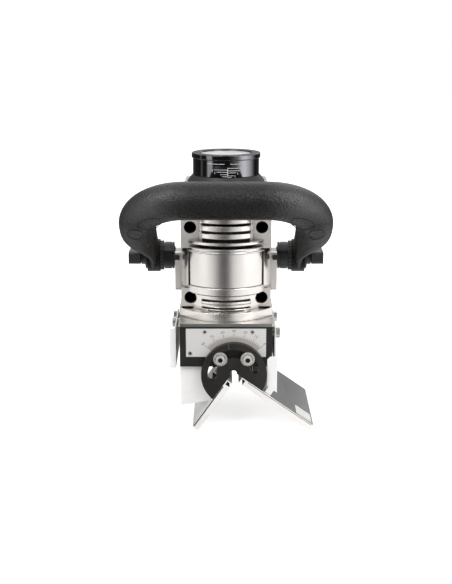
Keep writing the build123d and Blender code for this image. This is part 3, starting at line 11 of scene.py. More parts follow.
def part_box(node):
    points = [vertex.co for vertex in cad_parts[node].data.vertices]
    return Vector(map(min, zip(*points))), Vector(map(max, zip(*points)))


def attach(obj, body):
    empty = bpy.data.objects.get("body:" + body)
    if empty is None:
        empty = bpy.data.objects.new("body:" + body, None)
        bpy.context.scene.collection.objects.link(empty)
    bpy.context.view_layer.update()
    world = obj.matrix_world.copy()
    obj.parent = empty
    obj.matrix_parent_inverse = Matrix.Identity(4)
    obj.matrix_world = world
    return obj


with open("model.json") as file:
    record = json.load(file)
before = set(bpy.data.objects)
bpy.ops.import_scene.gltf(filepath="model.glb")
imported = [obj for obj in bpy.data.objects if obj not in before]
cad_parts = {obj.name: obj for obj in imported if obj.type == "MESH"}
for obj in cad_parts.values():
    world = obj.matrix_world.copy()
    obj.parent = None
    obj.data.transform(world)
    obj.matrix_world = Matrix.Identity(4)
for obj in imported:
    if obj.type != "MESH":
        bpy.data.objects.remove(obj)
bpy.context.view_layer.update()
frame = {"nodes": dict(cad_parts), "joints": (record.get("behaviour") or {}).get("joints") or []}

nodes = frame["nodes"]
joints = {j["name"]: j for j in frame["joints"]}
MM = 0.001
MICRON = 0.000001
SPINDLE_Y = joints["dial_turn"]["pos_m"][1]
PIVOT = Vector(joints["bevel_angle"]["pos_m"])
HANDLE_Z = joints["handle_tilt"]["pos_m"][2]
MOTOR_Z = joints["motor_spin"]["pos_m"][2]

# Camera: the photograph's own view, as seen from the front and a little above
LENS_MM, SENSOR_MM = 61.64, 36.0
CAMERA_BACK, CAMERA_HEIGHT = 970.3 * MM, 363.7 * MM
AIM_HEIGHT = 121.8 * MM


def make_camera():
    data = bpy.data.cameras.new("camera")
    data.sensor_width = SENSOR_MM
    data.lens = LENS_MM
    data.clip_start = 0.05
    data.clip_end = 30.0
    camera = bpy.data.objects.new("camera", data)
    bpy.context.scene.collection.objects.link(camera)
    camera.location = (0.0, SPINDLE_Y - CAMERA_BACK, CAMERA_HEIGHT)
    aim = Vector((0.0, SPINDLE_Y, AIM_HEIGHT)) - camera.location
    camera.rotation_euler = aim.to_track_quat("-Z", "Y").to_euler()
    bpy.context.scene.camera = camera


make_camera()

# Materials: each is procedural, with its own grain, tone and roughness
# Painted shade: ambient occlusion darkens a colour towards this one in inner corners
CORNER_SHADE_DARK, CORNER_SHADE_CLEAR = 0.32, 0.62
CORNER_SHADE_COLOUR = (0.012, 0.011, 0.010, 1.0)


class Surface:
    """A Principled material with helpers for its procedural nodes."""

    def __init__(self, name, metallic=0.0):
        self.material = bpy.data.materials.new(name)
        self.material.use_nodes = True
        tree = self.material.node_tree
        self.new = tree.nodes.new
        self.link = tree.links.new
        self.shader = tree.nodes["Principled BSDF"]
        self.shader.inputs["Metallic"].default_value = metallic
        self.place = self.new("ShaderNodeTexCoord").outputs["Object"]
        self.heights = []

    def mapping(self, scale):
        node = self.new("ShaderNodeMapping")
        node.inputs["Scale"].default_value = scale if hasattr(scale, "__len__") else (scale,) * 3
        self.link(self.place, node.inputs["Vector"])
        return node.outputs["Vector"]

    def noise(self, scale, detail=3.0, roughness=0.55, distortion=0.0):
        node = self.new("ShaderNodeTexNoise")
        node.inputs["Scale"].default_value = 1.0
        node.inputs["Detail"].default_value = detail
        node.inputs["Roughness"].default_value = roughness
        node.inputs["Distortion"].default_value = distortion
        self.link(self.mapping(scale), node.inputs["Vector"])
        return node.outputs["Fac"]

    def cells(self, scale):
        node = self.new("ShaderNodeTexVoronoi")
        node.inputs["Scale"].default_value = 1.0
        self.link(self.mapping(scale), node.inputs["Vector"])
        return node.outputs["Distance"]

    def spread(self, value, low, high, start=0.3, end=0.7):
        """Maps the value's stretch from start to end onto low to high."""
        node = self.new("ShaderNodeMapRange")
        node.inputs["From Min"].default_value = start
        node.inputs["From Max"].default_value = end
        node.inputs["To Min"].default_value = low
        node.inputs["To Max"].default_value = high
        self.link(value, node.inputs["Value"])
        return node.outputs["Result"]

    def combine(self, a, b, operation):
        node = self.new("ShaderNodeMath")
        node.operation = operation
        for socket, value in zip(node.inputs, (a, b)):
            if isinstance(value, (int, float)):
                socket.default_value = value
            else:
                self.link(value, socket)
        return node.outputs["Value"]

    def blend(self, a, b, share):
        """A mix of two values, with share of a in it."""
        return self.combine(self.combine(a, share, "MULTIPLY"), self.combine(b, 1 - share, "MULTIPLY"), "ADD")

    def colour(self, value, stops):
        node = self.new("ShaderNodeValToRGB")
        fill_ramp(node.color_ramp, stops)
        self.link(value, node.inputs["Fac"])
        return node.outputs["Color"]

    def base(self, colour, corner_shade_reach=0.0):
        """Sets the colour; with a reach given, in metres, painted shade from ambient occlusion darkens the
        colour in inner corners that far.
        """
        if corner_shade_reach:
            corner = self.new("ShaderNodeAmbientOcclusion")
            corner.samples = 5
            corner.inputs["Distance"].default_value = corner_shade_reach
            shade = self.spread(corner.outputs["AO"], 0.03, 1.0, CORNER_SHADE_DARK, CORNER_SHADE_CLEAR)
            dark = self.new("ShaderNodeMixRGB")
            dark.inputs["Color1"].default_value = CORNER_SHADE_COLOUR
            self.link(shade, dark.inputs["Fac"])
            self.link(colour, dark.inputs["Color2"])
            colour = dark.outputs["Color"]
        self.link(colour, self.shader.inputs["Base Color"])

    def rough(self, value):
        self.link(value, self.shader.inputs["Roughness"])

    def bump(self, value, depth):
        """depth is the height, in metres, of value going from 0 to 1."""
        self.heights.append((value, depth))

    def finish(self, edge=0.0):
        """Joins the bumps on a normal that rounds the edges by edge, in metres."""
        normal = None
        if edge:
            node = self.new("ShaderNodeBevel")
            node.samples = 6
            node.inputs["Radius"].default_value = edge
            normal = node.outputs["Normal"]
        for value, depth in self.heights:
            node = self.new("ShaderNodeBump")
            node.inputs["Distance"].default_value = depth
            self.link(value, node.inputs["Height"])
            if normal is not None:
                self.link(normal, node.inputs["Normal"])
            normal = node.outputs["Normal"]
        if normal is not None:
            self.link(normal, self.shader.inputs["Normal"])
        return self.material


def fill_ramp(ramp, stops):
    """Sets a colour ramp's elements; stops are (position, rgb)."""
    while len(ramp.elements) < len(stops):
        ramp.elements.new(0.5)
    for element, (position, rgb) in zip(ramp.elements, stops):
        element.position = position
        element.color = (*rgb, 1.0)


def scaled(rgb, k):
    return tuple(min(1.0, c * k) for c in rgb)


def metal(name, rgb, rough=(0.22, 0.38), grain=2600.0, grain_depth=5 * MICRON, blotch=0.05, edge=0.4 * MM,
          streak=None, metallic=1.0, corner_shade_reach=0.0):
    """Metal with a fine grain, cloudy tone and roughness, streaks along an axis when it is brushed, and
    painted shade in inner corners when given a reach for it.
    """
    s = Surface(name, metallic=metallic)
    clouds = s.noise(38.0, 4.0, 0.6)
    fine = s.noise(grain, 2.0, 0.6)
    stops = [(0.3, scaled(rgb, 1 - blotch)), (0.5, rgb), (0.72, scaled(rgb, 1 + blotch))]
    s.base(s.colour(s.blend(clouds, fine, 0.7), stops), corner_shade_reach)
    rough_value = s.blend(clouds, fine, 0.5)
    if streak:
        lines = s.noise(streak, 3.0, 0.65)
        rough_value = s.blend(rough_value, lines, 0.5)
        if grain_depth:
            s.bump(lines, grain_depth)
    s.rough(s.spread(rough_value, *rough, 0.35, 0.65))
    if grain_depth:
        s.bump(fine, grain_depth)
    return s.finish(edge)


def plastic(name, rgb, rough=(0.35, 0.5), grain=1500.0, grain_depth=40 * MICRON, edge=0.4 * MM, blotch=0.2):
    s = Surface(name)
    clouds = s.noise(45.0, 4.0, 0.6)
    fine = s.cells(grain)
    s.base(s.colour(clouds, [(0.3, scaled(rgb, 1 - blotch)), (0.5, rgb), (0.75, scaled(rgb, 1 + blotch))]))
    s.rough(s.spread(clouds, *rough))
    if grain_depth:
        s.bump(fine, grain_depth)
    return s.finish(edge)


def ink(name, rgb, rough=(0.45, 0.55), blotch=0.2):
    """Flat paint without grain, for prints and dark lines."""
    return plastic(name, rgb, rough, grain_depth=0, edge=0.0, blotch=blotch)


HELD_START, HELD_END = 30 * MM, 65 * MM
LEG_TOP, GRIP_LOW = 204 * MM, 220 * MM


def rubber(name, rgb):
    """Grained rubber: small pebbles with fine creases, shinier where hands hold it and dull on its legs."""
    s = Surface(name)
    s.shader.inputs["Sheen Weight"].default_value = 0.02
    s.shader.inputs["Sheen Roughness"].default_value = 0.45
    pebbles = s.cells(560.0)
    creases = s.noise(480.0, 3.0, 0.65, distortion=0.6)
    clouds = s.noise(30.0, 4.0, 0.6)
    stops = [(0.3, scaled(rgb, 0.4)), (0.5, rgb), (0.7, scaled(rgb, 2.2))]
    s.base(s.colour(s.blend(clouds, creases, 0.5), stops))
    s.rough(s.spread(s.blend(clouds, creases, 0.4), 0.25, 0.44))
    parts = s.new("ShaderNodeSeparateXYZ")
    s.link(s.place, parts.inputs[0])
    held = s.spread(s.combine(parts.outputs["X"], 0.0, "ABSOLUTE"), 0.38, 0.95, HELD_START, HELD_END)
    leg = s.spread(parts.outputs["Z"], 0.2, 1.0, LEG_TOP, GRIP_LOW)
    s.link(s.combine(held, leg, "MULTIPLY"), s.shader.inputs["Specular IOR Level"])
    s.bump(pebbles, 300 * MICRON)
    s.bump(creases, 600 * MICRON)
    return s.finish()


CAST = (0.82, 0.785, 0.75)
SATIN, HALF_MATT, MATT = (0.2, 0.3), (0.25, 0.4), (0.4, 0.55)
SHEET_STREAK = (160.0, 6.0, 160.0)

# Metals given a reach in metres get painted shade in their inner corners
looks = {
    "cast": metal("cast_alloy", CAST, SATIN, grain_depth=8 * MICRON, blotch=0.06, corner_shade_reach=6 * MM),
    "cast_round": metal("cast_round", CAST, SATIN, blotch=0.06, edge=0.9 * MM, corner_shade_reach=6 * MM),
    "cast_face": metal("cast_face", (0.78, 0.745, 0.71), MATT, grain_depth=12 * MICRON, metallic=0.6,
                       corner_shade_reach=6 * MM),
    "cast_bead": metal("cast_bead", (0.86, 0.83, 0.80), SATIN, blotch=0.04, edge=0.0),
    "machined": metal("machined_alloy", (0.70, 0.68, 0.65), (0.2, 0.36), streak=(60.0, 1600.0, 1600.0),
                      corner_shade_reach=5 * MM),
    # Painted shade: a darker copy of the machined alloy for the top plate's front face
    "plate_edge": metal("plate_edge", (0.47, 0.475, 0.46), (0.3, 0.42), corner_shade_reach=3 * MM),
    "scale": metal("scale_alloy", (0.77, 0.755, 0.74), (0.36, 0.48), blotch=0.025, edge=0.2 * MM,
                   metallic=0.35),
    "sheet": metal("sheet_steel", (0.66, 0.675, 0.66), (0.27, 0.3), streak=SHEET_STREAK, grain_depth=0,
                   blotch=0.02, edge=0.2 * MM),
    # Painted light: a paler, less metallic copy of the sheet steel for the left sheet, standing in for its
    # bright reflection
    "left_sheet": metal("left_sheet_steel", (0.78, 0.775, 0.78), (0.3, 0.36), streak=SHEET_STREAK,
                        grain_depth=0, blotch=0.02, edge=0.2 * MM, metallic=0.45),
    "bar": metal("guide_bar_alloy", (0.80, 0.77, 0.74), HALF_MATT, streak=(1500.0, 45.0, 1500.0)),
    # Painted light: a paler, duller copy of the bar alloy for the bars' end faces
    "bar_face": metal("bar_face", (0.93, 0.89, 0.87), MATT, streak=(45.0, 1500.0, 1500.0), metallic=0.15),
    # Painted highlight: a pale copy of the sheet steel for the sheets' end faces
    "bright_edge": metal("bright_edge", (0.95, 0.94, 0.92), MATT, metallic=0.3),
    "bright": metal("bright_screw", (0.82, 0.80, 0.78), (0.12, 0.26), grain=2000.0, edge=0.2 * MM),
    "washer": metal("washer", (0.86, 0.84, 0.81), (0.2, 0.34), metallic=0.6, edge=0.3 * MM, corner_shade_reach=2 * MM),
    "dark_screw": metal("dark_screw", (0.20, 0.20, 0.20), (0.3, 0.5)),
    "hub": metal("hub_metal", (0.055, 0.055, 0.058), (0.28, 0.42), edge=0.3 * MM),
    "gloss_black": metal("gloss_black", (0.13, 0.13, 0.14), (0.05, 0.09), grain_depth=0),
    "tool_steel": metal("tool_steel", (0.56, 0.55, 0.54), (0.2, 0.34), edge=0.2 * MM),
    "carbide": metal("carbide", (0.34, 0.34, 0.36), HALF_MATT, edge=0.1 * MM),
    "core_steel": metal("core_steel", (0.32, 0.32, 0.33), (0.35, 0.5), streak=(50.0, 2500.0, 50.0)),
    "copper": metal("copper_wire", (0.72, 0.34, 0.20), HALF_MATT, streak=(900.0, 60.0, 900.0)),
    "bronze": metal("bronze", (0.70, 0.50, 0.26), (0.3, 0.45)),
    "rubber": rubber("grip_rubber", (0.0036, 0.0032, 0.0029)),
    "black_steel": plastic("black_steel", (0.0175, 0.0165, 0.0155), (0.3, 0.44), grain_depth=20 * MICRON,
                           edge=0.3 * MM),
    "black_plastic": plastic("black_plastic", (0.018, 0.018, 0.019), (0.3, 0.45), edge=0.5 * MM),
    "charcoal": plastic("charcoal_plastic", (0.035, 0.036, 0.038), MATT, grain=900.0,
                        grain_depth=80 * MICRON),
    "carbon": plastic("carbon", (0.03, 0.03, 0.032), (0.5, 0.7)),
    "gloss_white": plastic("gloss_white", (0.90, 0.90, 0.89), (0.1, 0.2), grain_depth=0, blotch=0.02,
                           edge=0.0),
    "pale_sheet": plastic("pale_sheet", (0.88, 0.875, 0.865), HALF_MATT, grain_depth=10 * MICRON,
                          blotch=0.03),
    "label": plastic("label_paper", (0.80, 0.79, 0.77), grain_depth=10 * MICRON, blotch=0.03, edge=0.0),
    # Painted shade: near-black for grooves, holes, recesses and gaps
    "deep": plastic("deep_shade", (0.008, 0.0075, 0.007), (0.6, 0.8), grain_depth=30 * MICRON, edge=0.0),
    "grip_groove": plastic("grip_groove", (0.0015, 0.0015, 0.0015), (0.7, 0.85), grain_depth=20 * MICRON,
                           edge=0.0),
    "slot_shade": ink("slot_shade", (0.04, 0.034, 0.028), (0.5, 0.7)),
    "line_shade": ink("line_shade", (0.055, 0.05, 0.045), (0.5, 0.7)),
    "ink_white": ink("ink_white", (0.78, 0.79, 0.80), (0.4, 0.5), blotch=0.03),
    "ink_tan": ink("ink_tan", (0.40, 0.355, 0.31), (0.5, 0.6), blotch=0.1),
    "ink_band": ink("ink_band", (0.42, 0.385, 0.35), blotch=0.08),
    "ink_grey": ink("ink_grey", (0.15, 0.135, 0.12), blotch=0.08),
}

look_of = {
    "cast": "gear_housing bearing_plate lift_cartridge",
    "machined": "carrier_top_plate rear_plate left_side_wall right_side_wall lift_nut",
    "black_steel": "front_plate front_quadrant rear_quadrant dial_base",
    "scale": "scale_plate",
    "bar": "left_guide_bar right_guide_bar",
    "sheet": "right_guide_sheet",
    "left_sheet": "left_guide_sheet",
    "pale_sheet": "left_guard right_guard left_chip_shield right_chip_shield",
    "bright": "guard_screws scale_screws shield_screws tail_screws clamp_screws clamp_washers",
    "dark_screw": "housing_screws insert_screws cutter_screw pivot_bolts",
    "hub": "handle_hubs",
    "gloss_black": "dial_sleeve dial_cap",
    "gloss_white": "dial_face",
    "rubber": "handle_grip",
    "black_plastic": "left_clamp_knob right_clamp_knob switch_slider switch_module fan cable_inlet",
    "charcoal": "motor_housing tail_cover",
    "tool_steel": "ball_bearings lift_bearing crown_gear pinion spindle cutter_head armature_shaft",
    "carbide": "cutting_inserts",
    "core_steel": "stator_core rotor_core",
    "copper": "stator_windings rotor_windings commutator",
    "bronze": "spindle_bush brush_holders",
    "carbon": "carbon_brushes",
}
SHARP = math.radians(32)
for look, names in look_of.items():
    for name in names.split():
        data = nodes[name].data
        data.materials.clear()
        data.materials.append(looks[look])
        data.shade_smooth()
        data.set_sharp_from_angle(angle=SHARP)


def tint(node, look, test):
    """Gives another look to a CAD node's faces that pass the test on their centre and normal, in metres."""
    data = nodes[node].data
    data.materials.append(looks[look])
    slot = len(data.materials) - 1
    for face in data.polygons:
        if test(face.center, face.normal):
            face.material_index = slot


def from_spindle(c):
    return math.hypot(c.x, c.y - SPINDLE_Y)


# Places on the CAD model that the details are set on
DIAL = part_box("dial_sleeve")
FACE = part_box("dial_face")
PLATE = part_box("scale_plate")
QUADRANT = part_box("front_quadrant")
DIAL_RADIUS = 32.0 * MM
BAND_INNER, BAND_OUTER = 31.6 * MM, 35.6 * MM
GROOVE_RADIUS, GROOVE_LOW = 37.3 * MM, MOTOR_Z + 16.0 * MM
SLOT_INNER, SLOT_OUTER = 38.0 * MM, 40.5 * MM
TUNNEL_SQUARE = 34.5 * MM
TUNNEL_RADIUS = 6.2 * MM
HOUSING_FRONT = SPINDLE_Y - 20.0 * MM
FIN_LOW = MOTOR_Z + 17.0 * MM
SLOTS_TOP = MOTOR_Z - 30.0 * MM
FLAT_HALF = 24.0 * MM
PRINT = 0.03 * MM
PRINT_SUNK = 0.3 * PRINT

# Faces of the CAD nodes with a finish of their own, and faces that get painted shade or painted light


# Walls of the screw tunnels in the ears, which get painted shade
def in_tunnel(c, n):
    near = math.hypot(abs(c.x) - TUNNEL_SQUARE, abs(c.z - MOTOR_Z) - TUNNEL_SQUARE) < TUNNEL_RADIUS
    return near and (abs(n.y) < 0.5 or c.y > SPINDLE_Y)


def in_groove(c, n):
    """The column's wall behind the ribs and the ring fin, which gets painted shade."""
    high = from_spindle(c) < GROOVE_RADIUS and c.z > GROOVE_LOW
    return c.y < HOUSING_FRONT and abs(n.z) < 0.5 and high


def in_slot(c, n):
    """The walls of the slots below the band, which get painted shade."""
    low = SLOT_INNER < from_spindle(c) < SLOT_OUTER and c.z < SLOTS_TOP
    return c.y < HOUSING_FRONT and abs(n.z) < 0.5 and low


def flat_front(c, n):
    return n.y < -0.98 and abs(c.x) > FLAT_HALF


def rounded(c, n):
    """The ring fin, the ribs, the lower step and the flange, whose edges are cast round."""
    above = c.z > FIN_LOW and from_spindle(c) > GROOVE_RADIUS
    return c.y < HOUSING_FRONT and (above or c.z < SLOTS_TOP)


tint("gear_housing", "cast_round", rounded)
tint("gear_housing", "cast_face", flat_front)
# Painted shade in the column's grooves and screw tunnels, and a dark grey-brown painted shade on the slot
# walls
tint("gear_housing", "deep", lambda c, n: in_groove(c, n) or in_tunnel(c, n))
tint("gear_housing", "slot_shade", in_slot)
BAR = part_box("right_guide_bar")
BAR_END = 5.0 * MM
# Painted light on the guide bars' end faces
for name in ("left_guide_bar", "right_guide_bar"):
    tint(name, "bar_face", lambda c, n: abs(n.y) > 0.9 and not BAR[0].y + BAR_END < c.y < BAR[1].y - BAR_END)
# Painted shade on the guide bars' inner sloping faces
tint("left_guide_bar", "deep", lambda c, n: n.x > 0.4 and n.z > 0.5)
tint("right_guide_bar", "deep", lambda c, n: n.x < -0.6 and n.z > 0.4)
# Painted highlight on the guide sheets' end faces
for name in ("left_guide_sheet", "right_guide_sheet"):
    tint(name, "bright_edge", lambda c, n: abs(n.y) > 0.9)
# Painted shade on the top plate's front face
tint("carrier_top_plate", "plate_edge", lambda c, n: n.y < -0.9)
HUB_COLLAR = 60.9 * MM
tint("handle_hubs", "black_plastic", lambda c, n: abs(c.x) > HUB_COLLAR)
tint("clamp_washers", "washer", lambda c, n: True)
tint("clamp_screws", "washer", lambda c, n: True)

# Pieces in mesh code


def fixed_normals(mesh):
    bm = bmesh.new()
    bm.from_mesh(mesh)
    bmesh.ops.recalc_face_normals(bm, faces=bm.faces)
    bm.to_mesh(mesh)
    bm.free()


SHARP_DETAIL = math.radians(35)


def piece(name, body, look, shapes, smooth=False):
    """Makes a piece of the collected shapes, which rides on the body."""
    mesh = bpy.data.meshes.new(name)
    mesh.from_pydata([tuple(v) for v in shapes.vertices], [], shapes.faces)
    mesh.update()
    fixed_normals(mesh)
    mesh.materials.append(looks[look])
    if smooth:
        mesh.shade_smooth()
        mesh.set_sharp_from_angle(angle=SHARP_DETAIL)
    obj = bpy.data.objects.new(name, mesh)
    bpy.context.scene.collection.objects.link(obj)
    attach(obj, body)
    return obj


class Shapes:
    """Collects the closed solids of a print or a set of small parts, in metres."""

    def __init__(self, place=lambda a, b, h: (a, b, h)):
        self.vertices = []
        self.faces = []
        self.place = place

    def add(self, points, faces):
        start = len(self.vertices)
        self.vertices += [Vector(self.place(*p)) for p in points]
        self.faces += [[start + i for i in f] for f in faces]

    def ribbon(self, one_side, other_side, low=0.0, high=PRINT):
        """A strip between two rows of points (a, b), raised from low to high."""
        points = []
        for a, b in zip(one_side, other_side):
            points += [(*a, low), (*b, low), (*b, high), (*a, high)]
        faces = [[0, 1, 2, 3], [len(points) - 4 + i for i in (3, 2, 1, 0)]]
        for k in range(0, len(points) - 4, 4):
            faces += [[k + i, k + (i + 1) % 4, k + 4 + (i + 1) % 4, k + 4 + i] for i in range(4)]
        self.add(points, faces)

    def prism(self, corners, low, high):
        """An upright prism over four corners (a, b), from low to high."""
        self.add([(*corner, h) for h in (low, high) for corner in corners],
                 [[0, 1, 2, 3], [7, 6, 5, 4], [0, 4, 5, 1], [1, 5, 6, 2], [2, 6, 7, 3], [3, 7, 4, 0]])

    def line(self, start, end, width, steps=1, low=0.0, high=PRINT):
        start, end = Vector(start), Vector(end)
        side = Vector((start.y - end.y, end.x - start.x)).normalized() * width / 2
        rows = [start.lerp(end, i / steps) for i in range(steps + 1)]
        self.ribbon([p + side for p in rows], [p - side for p in rows], low, high)

    def text(self, words, size, middle, turn=0.0):
        """Generic numbers as thin raised letters, turned about their middle."""
        curve = bpy.data.curves.new("words", "FONT")
        curve.body = words
        curve.size = size / MM
        curve.align_x = "CENTER"
        curve.align_y = "CENTER"
        curve.resolution_u = 2
        curve.extrude = 0.5
        obj = bpy.data.objects.new("words", curve)
        bpy.context.scene.collection.objects.link(obj)
        mesh = bpy.data.meshes.new_from_object(obj.evaluated_get(bpy.context.evaluated_depsgraph_get()))
        cos_t, sin_t = math.cos(turn), math.sin(turn)
        points = []
        for v in mesh.vertices:
            a, b = v.co.x * MM, v.co.y * MM
            across, along = a * cos_t - b * sin_t, a * sin_t + b * cos_t
            points.append((middle[0] + across, middle[1] + along, (v.co.z + 0.5) * PRINT))
        self.add(points, [list(p.vertices) for p in mesh.polygons])
        bpy.data.objects.remove(obj)
        bpy.data.curves.remove(curve)
        bpy.data.meshes.remove(mesh)


def skin(shapes, rings, closed):
    """Joins rings of points, all of one count, to a tube, with flat ends unless it is closed."""
    n, sides = len(rings), len(rings[0])
    start = len(shapes.vertices)
    shapes.vertices += [point for one in rings for point in one]
    for i in range(n if closed else n - 1):
        for k in range(sides):
            a, b = start + i * sides, start + (i + 1) % n * sides
            shapes.faces.append([a + k, a + (k + 1) % sides, b + (k + 1) % sides, b + k])
    if not closed:
        shapes.faces.append([start + k for k in range(sides)])
        shapes.faces.append([start + (n - 1) * sides + k for k in range(sides)])


def tube(shapes, rows, closed, radius, sides=6):
    """A round bead through rows of (point, normal)."""
    n = len(rows)
    turns = [math.tau * k / sides for k in range(sides)]
    rings = []
    for i, (p, normal) in enumerate(rows):
        ahead = rows[(i + 1) % n][0] if closed or i < n - 1 else p
        behind = rows[i - 1][0] if closed or i else p
        along = (ahead - behind).normalized()
        across = along.cross(normal).normalized()
        up = across.cross(along)
        rings.append([p + (across * math.cos(t) + up * math.sin(t)) * radius for t in turns])
    skin(shapes, rings, closed)


def on_round(radius):
    """A place on a wall round the spindle: a is the distance across, seen from the front, b the height."""
    def place(a, b, h):
        angle = math.asin(max(-0.98, min(0.98, a / radius)))
        r = radius + h
        return (r * math.sin(angle), SPINDLE_Y - r * math.cos(angle), b)
    return place


# Graduation of the dial's sleeve: a stem with arms to both sides, and two dashes above it
SLEEVE_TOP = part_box("dial_cap")[0].z
SLEEVE_LOW = DIAL[0].z
STEM = 1.6 * MM
STEM_START, STEM_STOP, DASH_AT = 0.02, 0.56, 0.8  # shares of the sleeve's height
STEM_WIDTH, ARM_WIDTH, DASH_WIDTH = 0.5 * MM, 0.42 * MM, 0.4 * MM
SMALL_TEXT = 2.6 * MM
NUMBER_OUT, NUMBER_DROP = 1.4 * MM, 0.9 * MM


def height(share):
    return SLEEVE_LOW + share * (SLEEVE_TOP - SLEEVE_LOW)


marks = Shapes(on_round(DIAL_RADIUS))
marks.line((STEM, height(STEM_START)), (STEM, height(STEM_STOP)), STEM_WIDTH)
ARMS = (  # share of the height, end of the arm in mm, number
    (0.56, 14.0, ""), (0.41, 13.0, "1"), (0.29, 9.5, "2"), (0.12, 7.0, "3"), (0.03, 5.0, ""),
    (0.46, -11.5, "4"), (0.33, -9.0, "5"), (0.19, -5.5, ""), (0.07, -4.0, ""),
)
for share, end, number in ARMS:
    end *= MM
    marks.line((STEM, height(share)), (end, height(share)), ARM_WIDTH, steps=6)
    if number:
        marks.text(number, SMALL_TEXT, (end + math.copysign(NUMBER_OUT, end), height(share) - NUMBER_DROP))
for start, end in ((-17.5 * MM, -1.5 * MM), (4.0 * MM, 13.5 * MM)):
    marks.line((start, height(DASH_AT)), (end, height(DASH_AT)), DASH_WIDTH, steps=8)
piece("dial_marks", "dial", "ink_white", marks)


def on_face(a, b, h):
    return (a, SPINDLE_Y + b, FACE[1].z - 0.5 * PRINT + h)


# Numbers and ticks on the dial's white face
FACE_TICKS, TICKS_A_NUMBER = 48, 4
TICK_END, SHORT_TICK, LONG_TICK, NUMBER_RADIUS = 22.2 * MM, 20.6 * MM, 19.2 * MM, 16.6 * MM
FACE_TICK_WIDTH = 0.28 * MM
face_marks = Shapes(on_face)
for i in range(FACE_TICKS):
    angle = math.tau * i / FACE_TICKS
    numbered = i % TICKS_A_NUMBER == 0
    inner = LONG_TICK if numbered else SHORT_TICK
    a, b = math.sin(angle), math.cos(angle)
    face_marks.line((a * inner, b * inner), (a * TICK_END, b * TICK_END), FACE_TICK_WIDTH)
    if numbered:
        face_marks.text(str(i // TICKS_A_NUMBER), SMALL_TEXT, (a * NUMBER_RADIUS, b * NUMBER_RADIUS), -angle)
piece("face_marks", "dial", "ink_tan", face_marks)

# Housing: painted shade lines along the edges of the panel, rim, foot and slots and for a slot in the flange,
# beads along the rims, and webs and ends of grooves
BAND_RADIUS, PANEL_RADIUS, LOWER_RADIUS = 45.0 * MM, 43.8 * MM, 42.0 * MM
PANEL_LOW, PANEL_TOP, PANEL_HALF = MOTOR_Z - 22.0 * MM, MOTOR_Z + 11.4 * MM, 36.2 * MM
BAND_TOP = MOTOR_Z + 16.2 * MM
BAND_LOW = MOTOR_Z - 29.0 * MM
FIN_TOP = MOTOR_Z + 22.2 * MM
RIB_HALF, RIB_PITCH, FIRST_RIB, RIB_COUNT = 23.0 * MM, 7.4 * MM, MOTOR_Z + 27.4 * MM, 5
EAR_INNER, EAR_FRONT = 25.5 * MM, SPINDLE_Y - 27.0 * MM
LOWER_GROOVE_TOP = MOTOR_Z - 34.0 * MM
FLANGE_TOP = MOTOR_Z - 45.0 * MM
DECK_BOTTOM = MOTOR_Z + 70.2 * MM
FINE, EDGE_WIDTH, FOOT_WIDTH, SLOT_WIDTH, FLANGE_SLOT_WIDTH = 0.4 * MM, 0.5 * MM, 0.7 * MM, 0.6 * MM, 0.8 * MM
SLOT_DROPS = (4.7 * MM, 3.6 * MM)
BEAD_STEPS, BEAD_SUNK = 32, 0.35
BEADS = (  # wall radius, half length, height and thickness
    (BAND_RADIUS, 37.5 * MM, PANEL_TOP + 1.0 * MM, 0.6 * MM),
    (BAND_RADIUS, 37.5 * MM, PANEL_LOW - 0.8 * MM, 0.6 * MM),
    (BAND_RADIUS, 40.5 * MM, BAND_TOP - 0.7 * MM, 0.6 * MM),
    (LOWER_RADIUS, 25.0 * MM, FLANGE_TOP + 1.35 * MM, 0.45 * MM),
)
RIM_HALF, FOOT_HALF, SLOT_HALF, FLANGE_SLOT_HALF = 39.5 * MM, 35.5 * MM, RIB_HALF + 0.5 * MM, 17.5 * MM
WEB_DEPTH, WEB_SLOPE, WEB_OVERLAP = 2.4 * MM, 1.2 * MM, 0.1 * MM
LUMP_REACH, LUMP_RADIUS, LUMP_SUNK = 2.1 * MM, 1.25 * MM, 0.5 * MM
# The lump's outline, as shares of its reach and of its radius
LUMP_SHAPE = ((-1.0, 0.3), (-0.8, 0.75), (-0.5, 1.0), (0.5, 1.0), (0.8, 0.75), (1.0, 0.3))
LUMP_SIDES = 10


def level_line(shapes, half, z, width, steps):
    """A level line, as far to the left as to the right."""
    shapes.line((-half, z), (half, z), width, steps)


def shade_lines(name, shapes):
    """Dark lines of painted shade on the casting."""
    piece(name, "machine", "line_shade", shapes)


panel_lines = Shapes(on_round(PANEL_RADIUS))
for z in (PANEL_LOW + 0.25 * MM, PANEL_TOP - 0.3 * MM):
    level_line(panel_lines, PANEL_HALF, z, EDGE_WIDTH, 24)
for side in (-1, 1):
    panel_lines.line((side * PANEL_HALF, PANEL_LOW), (side * PANEL_HALF, PANEL_TOP), FINE)
shade_lines("panel_lines", panel_lines)
rim_lines = Shapes(on_round(BAND_RADIUS))
level_line(rim_lines, RIM_HALF, BAND_TOP - 2.2 * MM, FINE, 24)
shade_lines("rim_lines", rim_lines)
band_foot = Shapes(on_round(LOWER_RADIUS))
level_line(band_foot, FOOT_HALF, BAND_LOW - 1.3 * MM, FOOT_WIDTH, 24)
shade_lines("band_foot", band_foot)


def bead(shapes, radius, half, z, thick):
    """A level bead on a round wall, partly sunk in it."""
    place = on_round(radius)
    rows = []
    for i in range(BEAD_STEPS + 1):
        a = half * (2 * i / BEAD_STEPS - 1)
        point = Vector(place(a, z, -BEAD_SUNK * thick))
        rows.append((point, Vector((point.x, point.y - SPINDLE_Y, 0)).normalized()))
    tube(shapes, rows, False, thick, sides=8)


rims = Shapes()
for row in BEADS:
    bead(rims, *row)
piece("rim_beads", "machine", "cast_bead", rims, smooth=True)

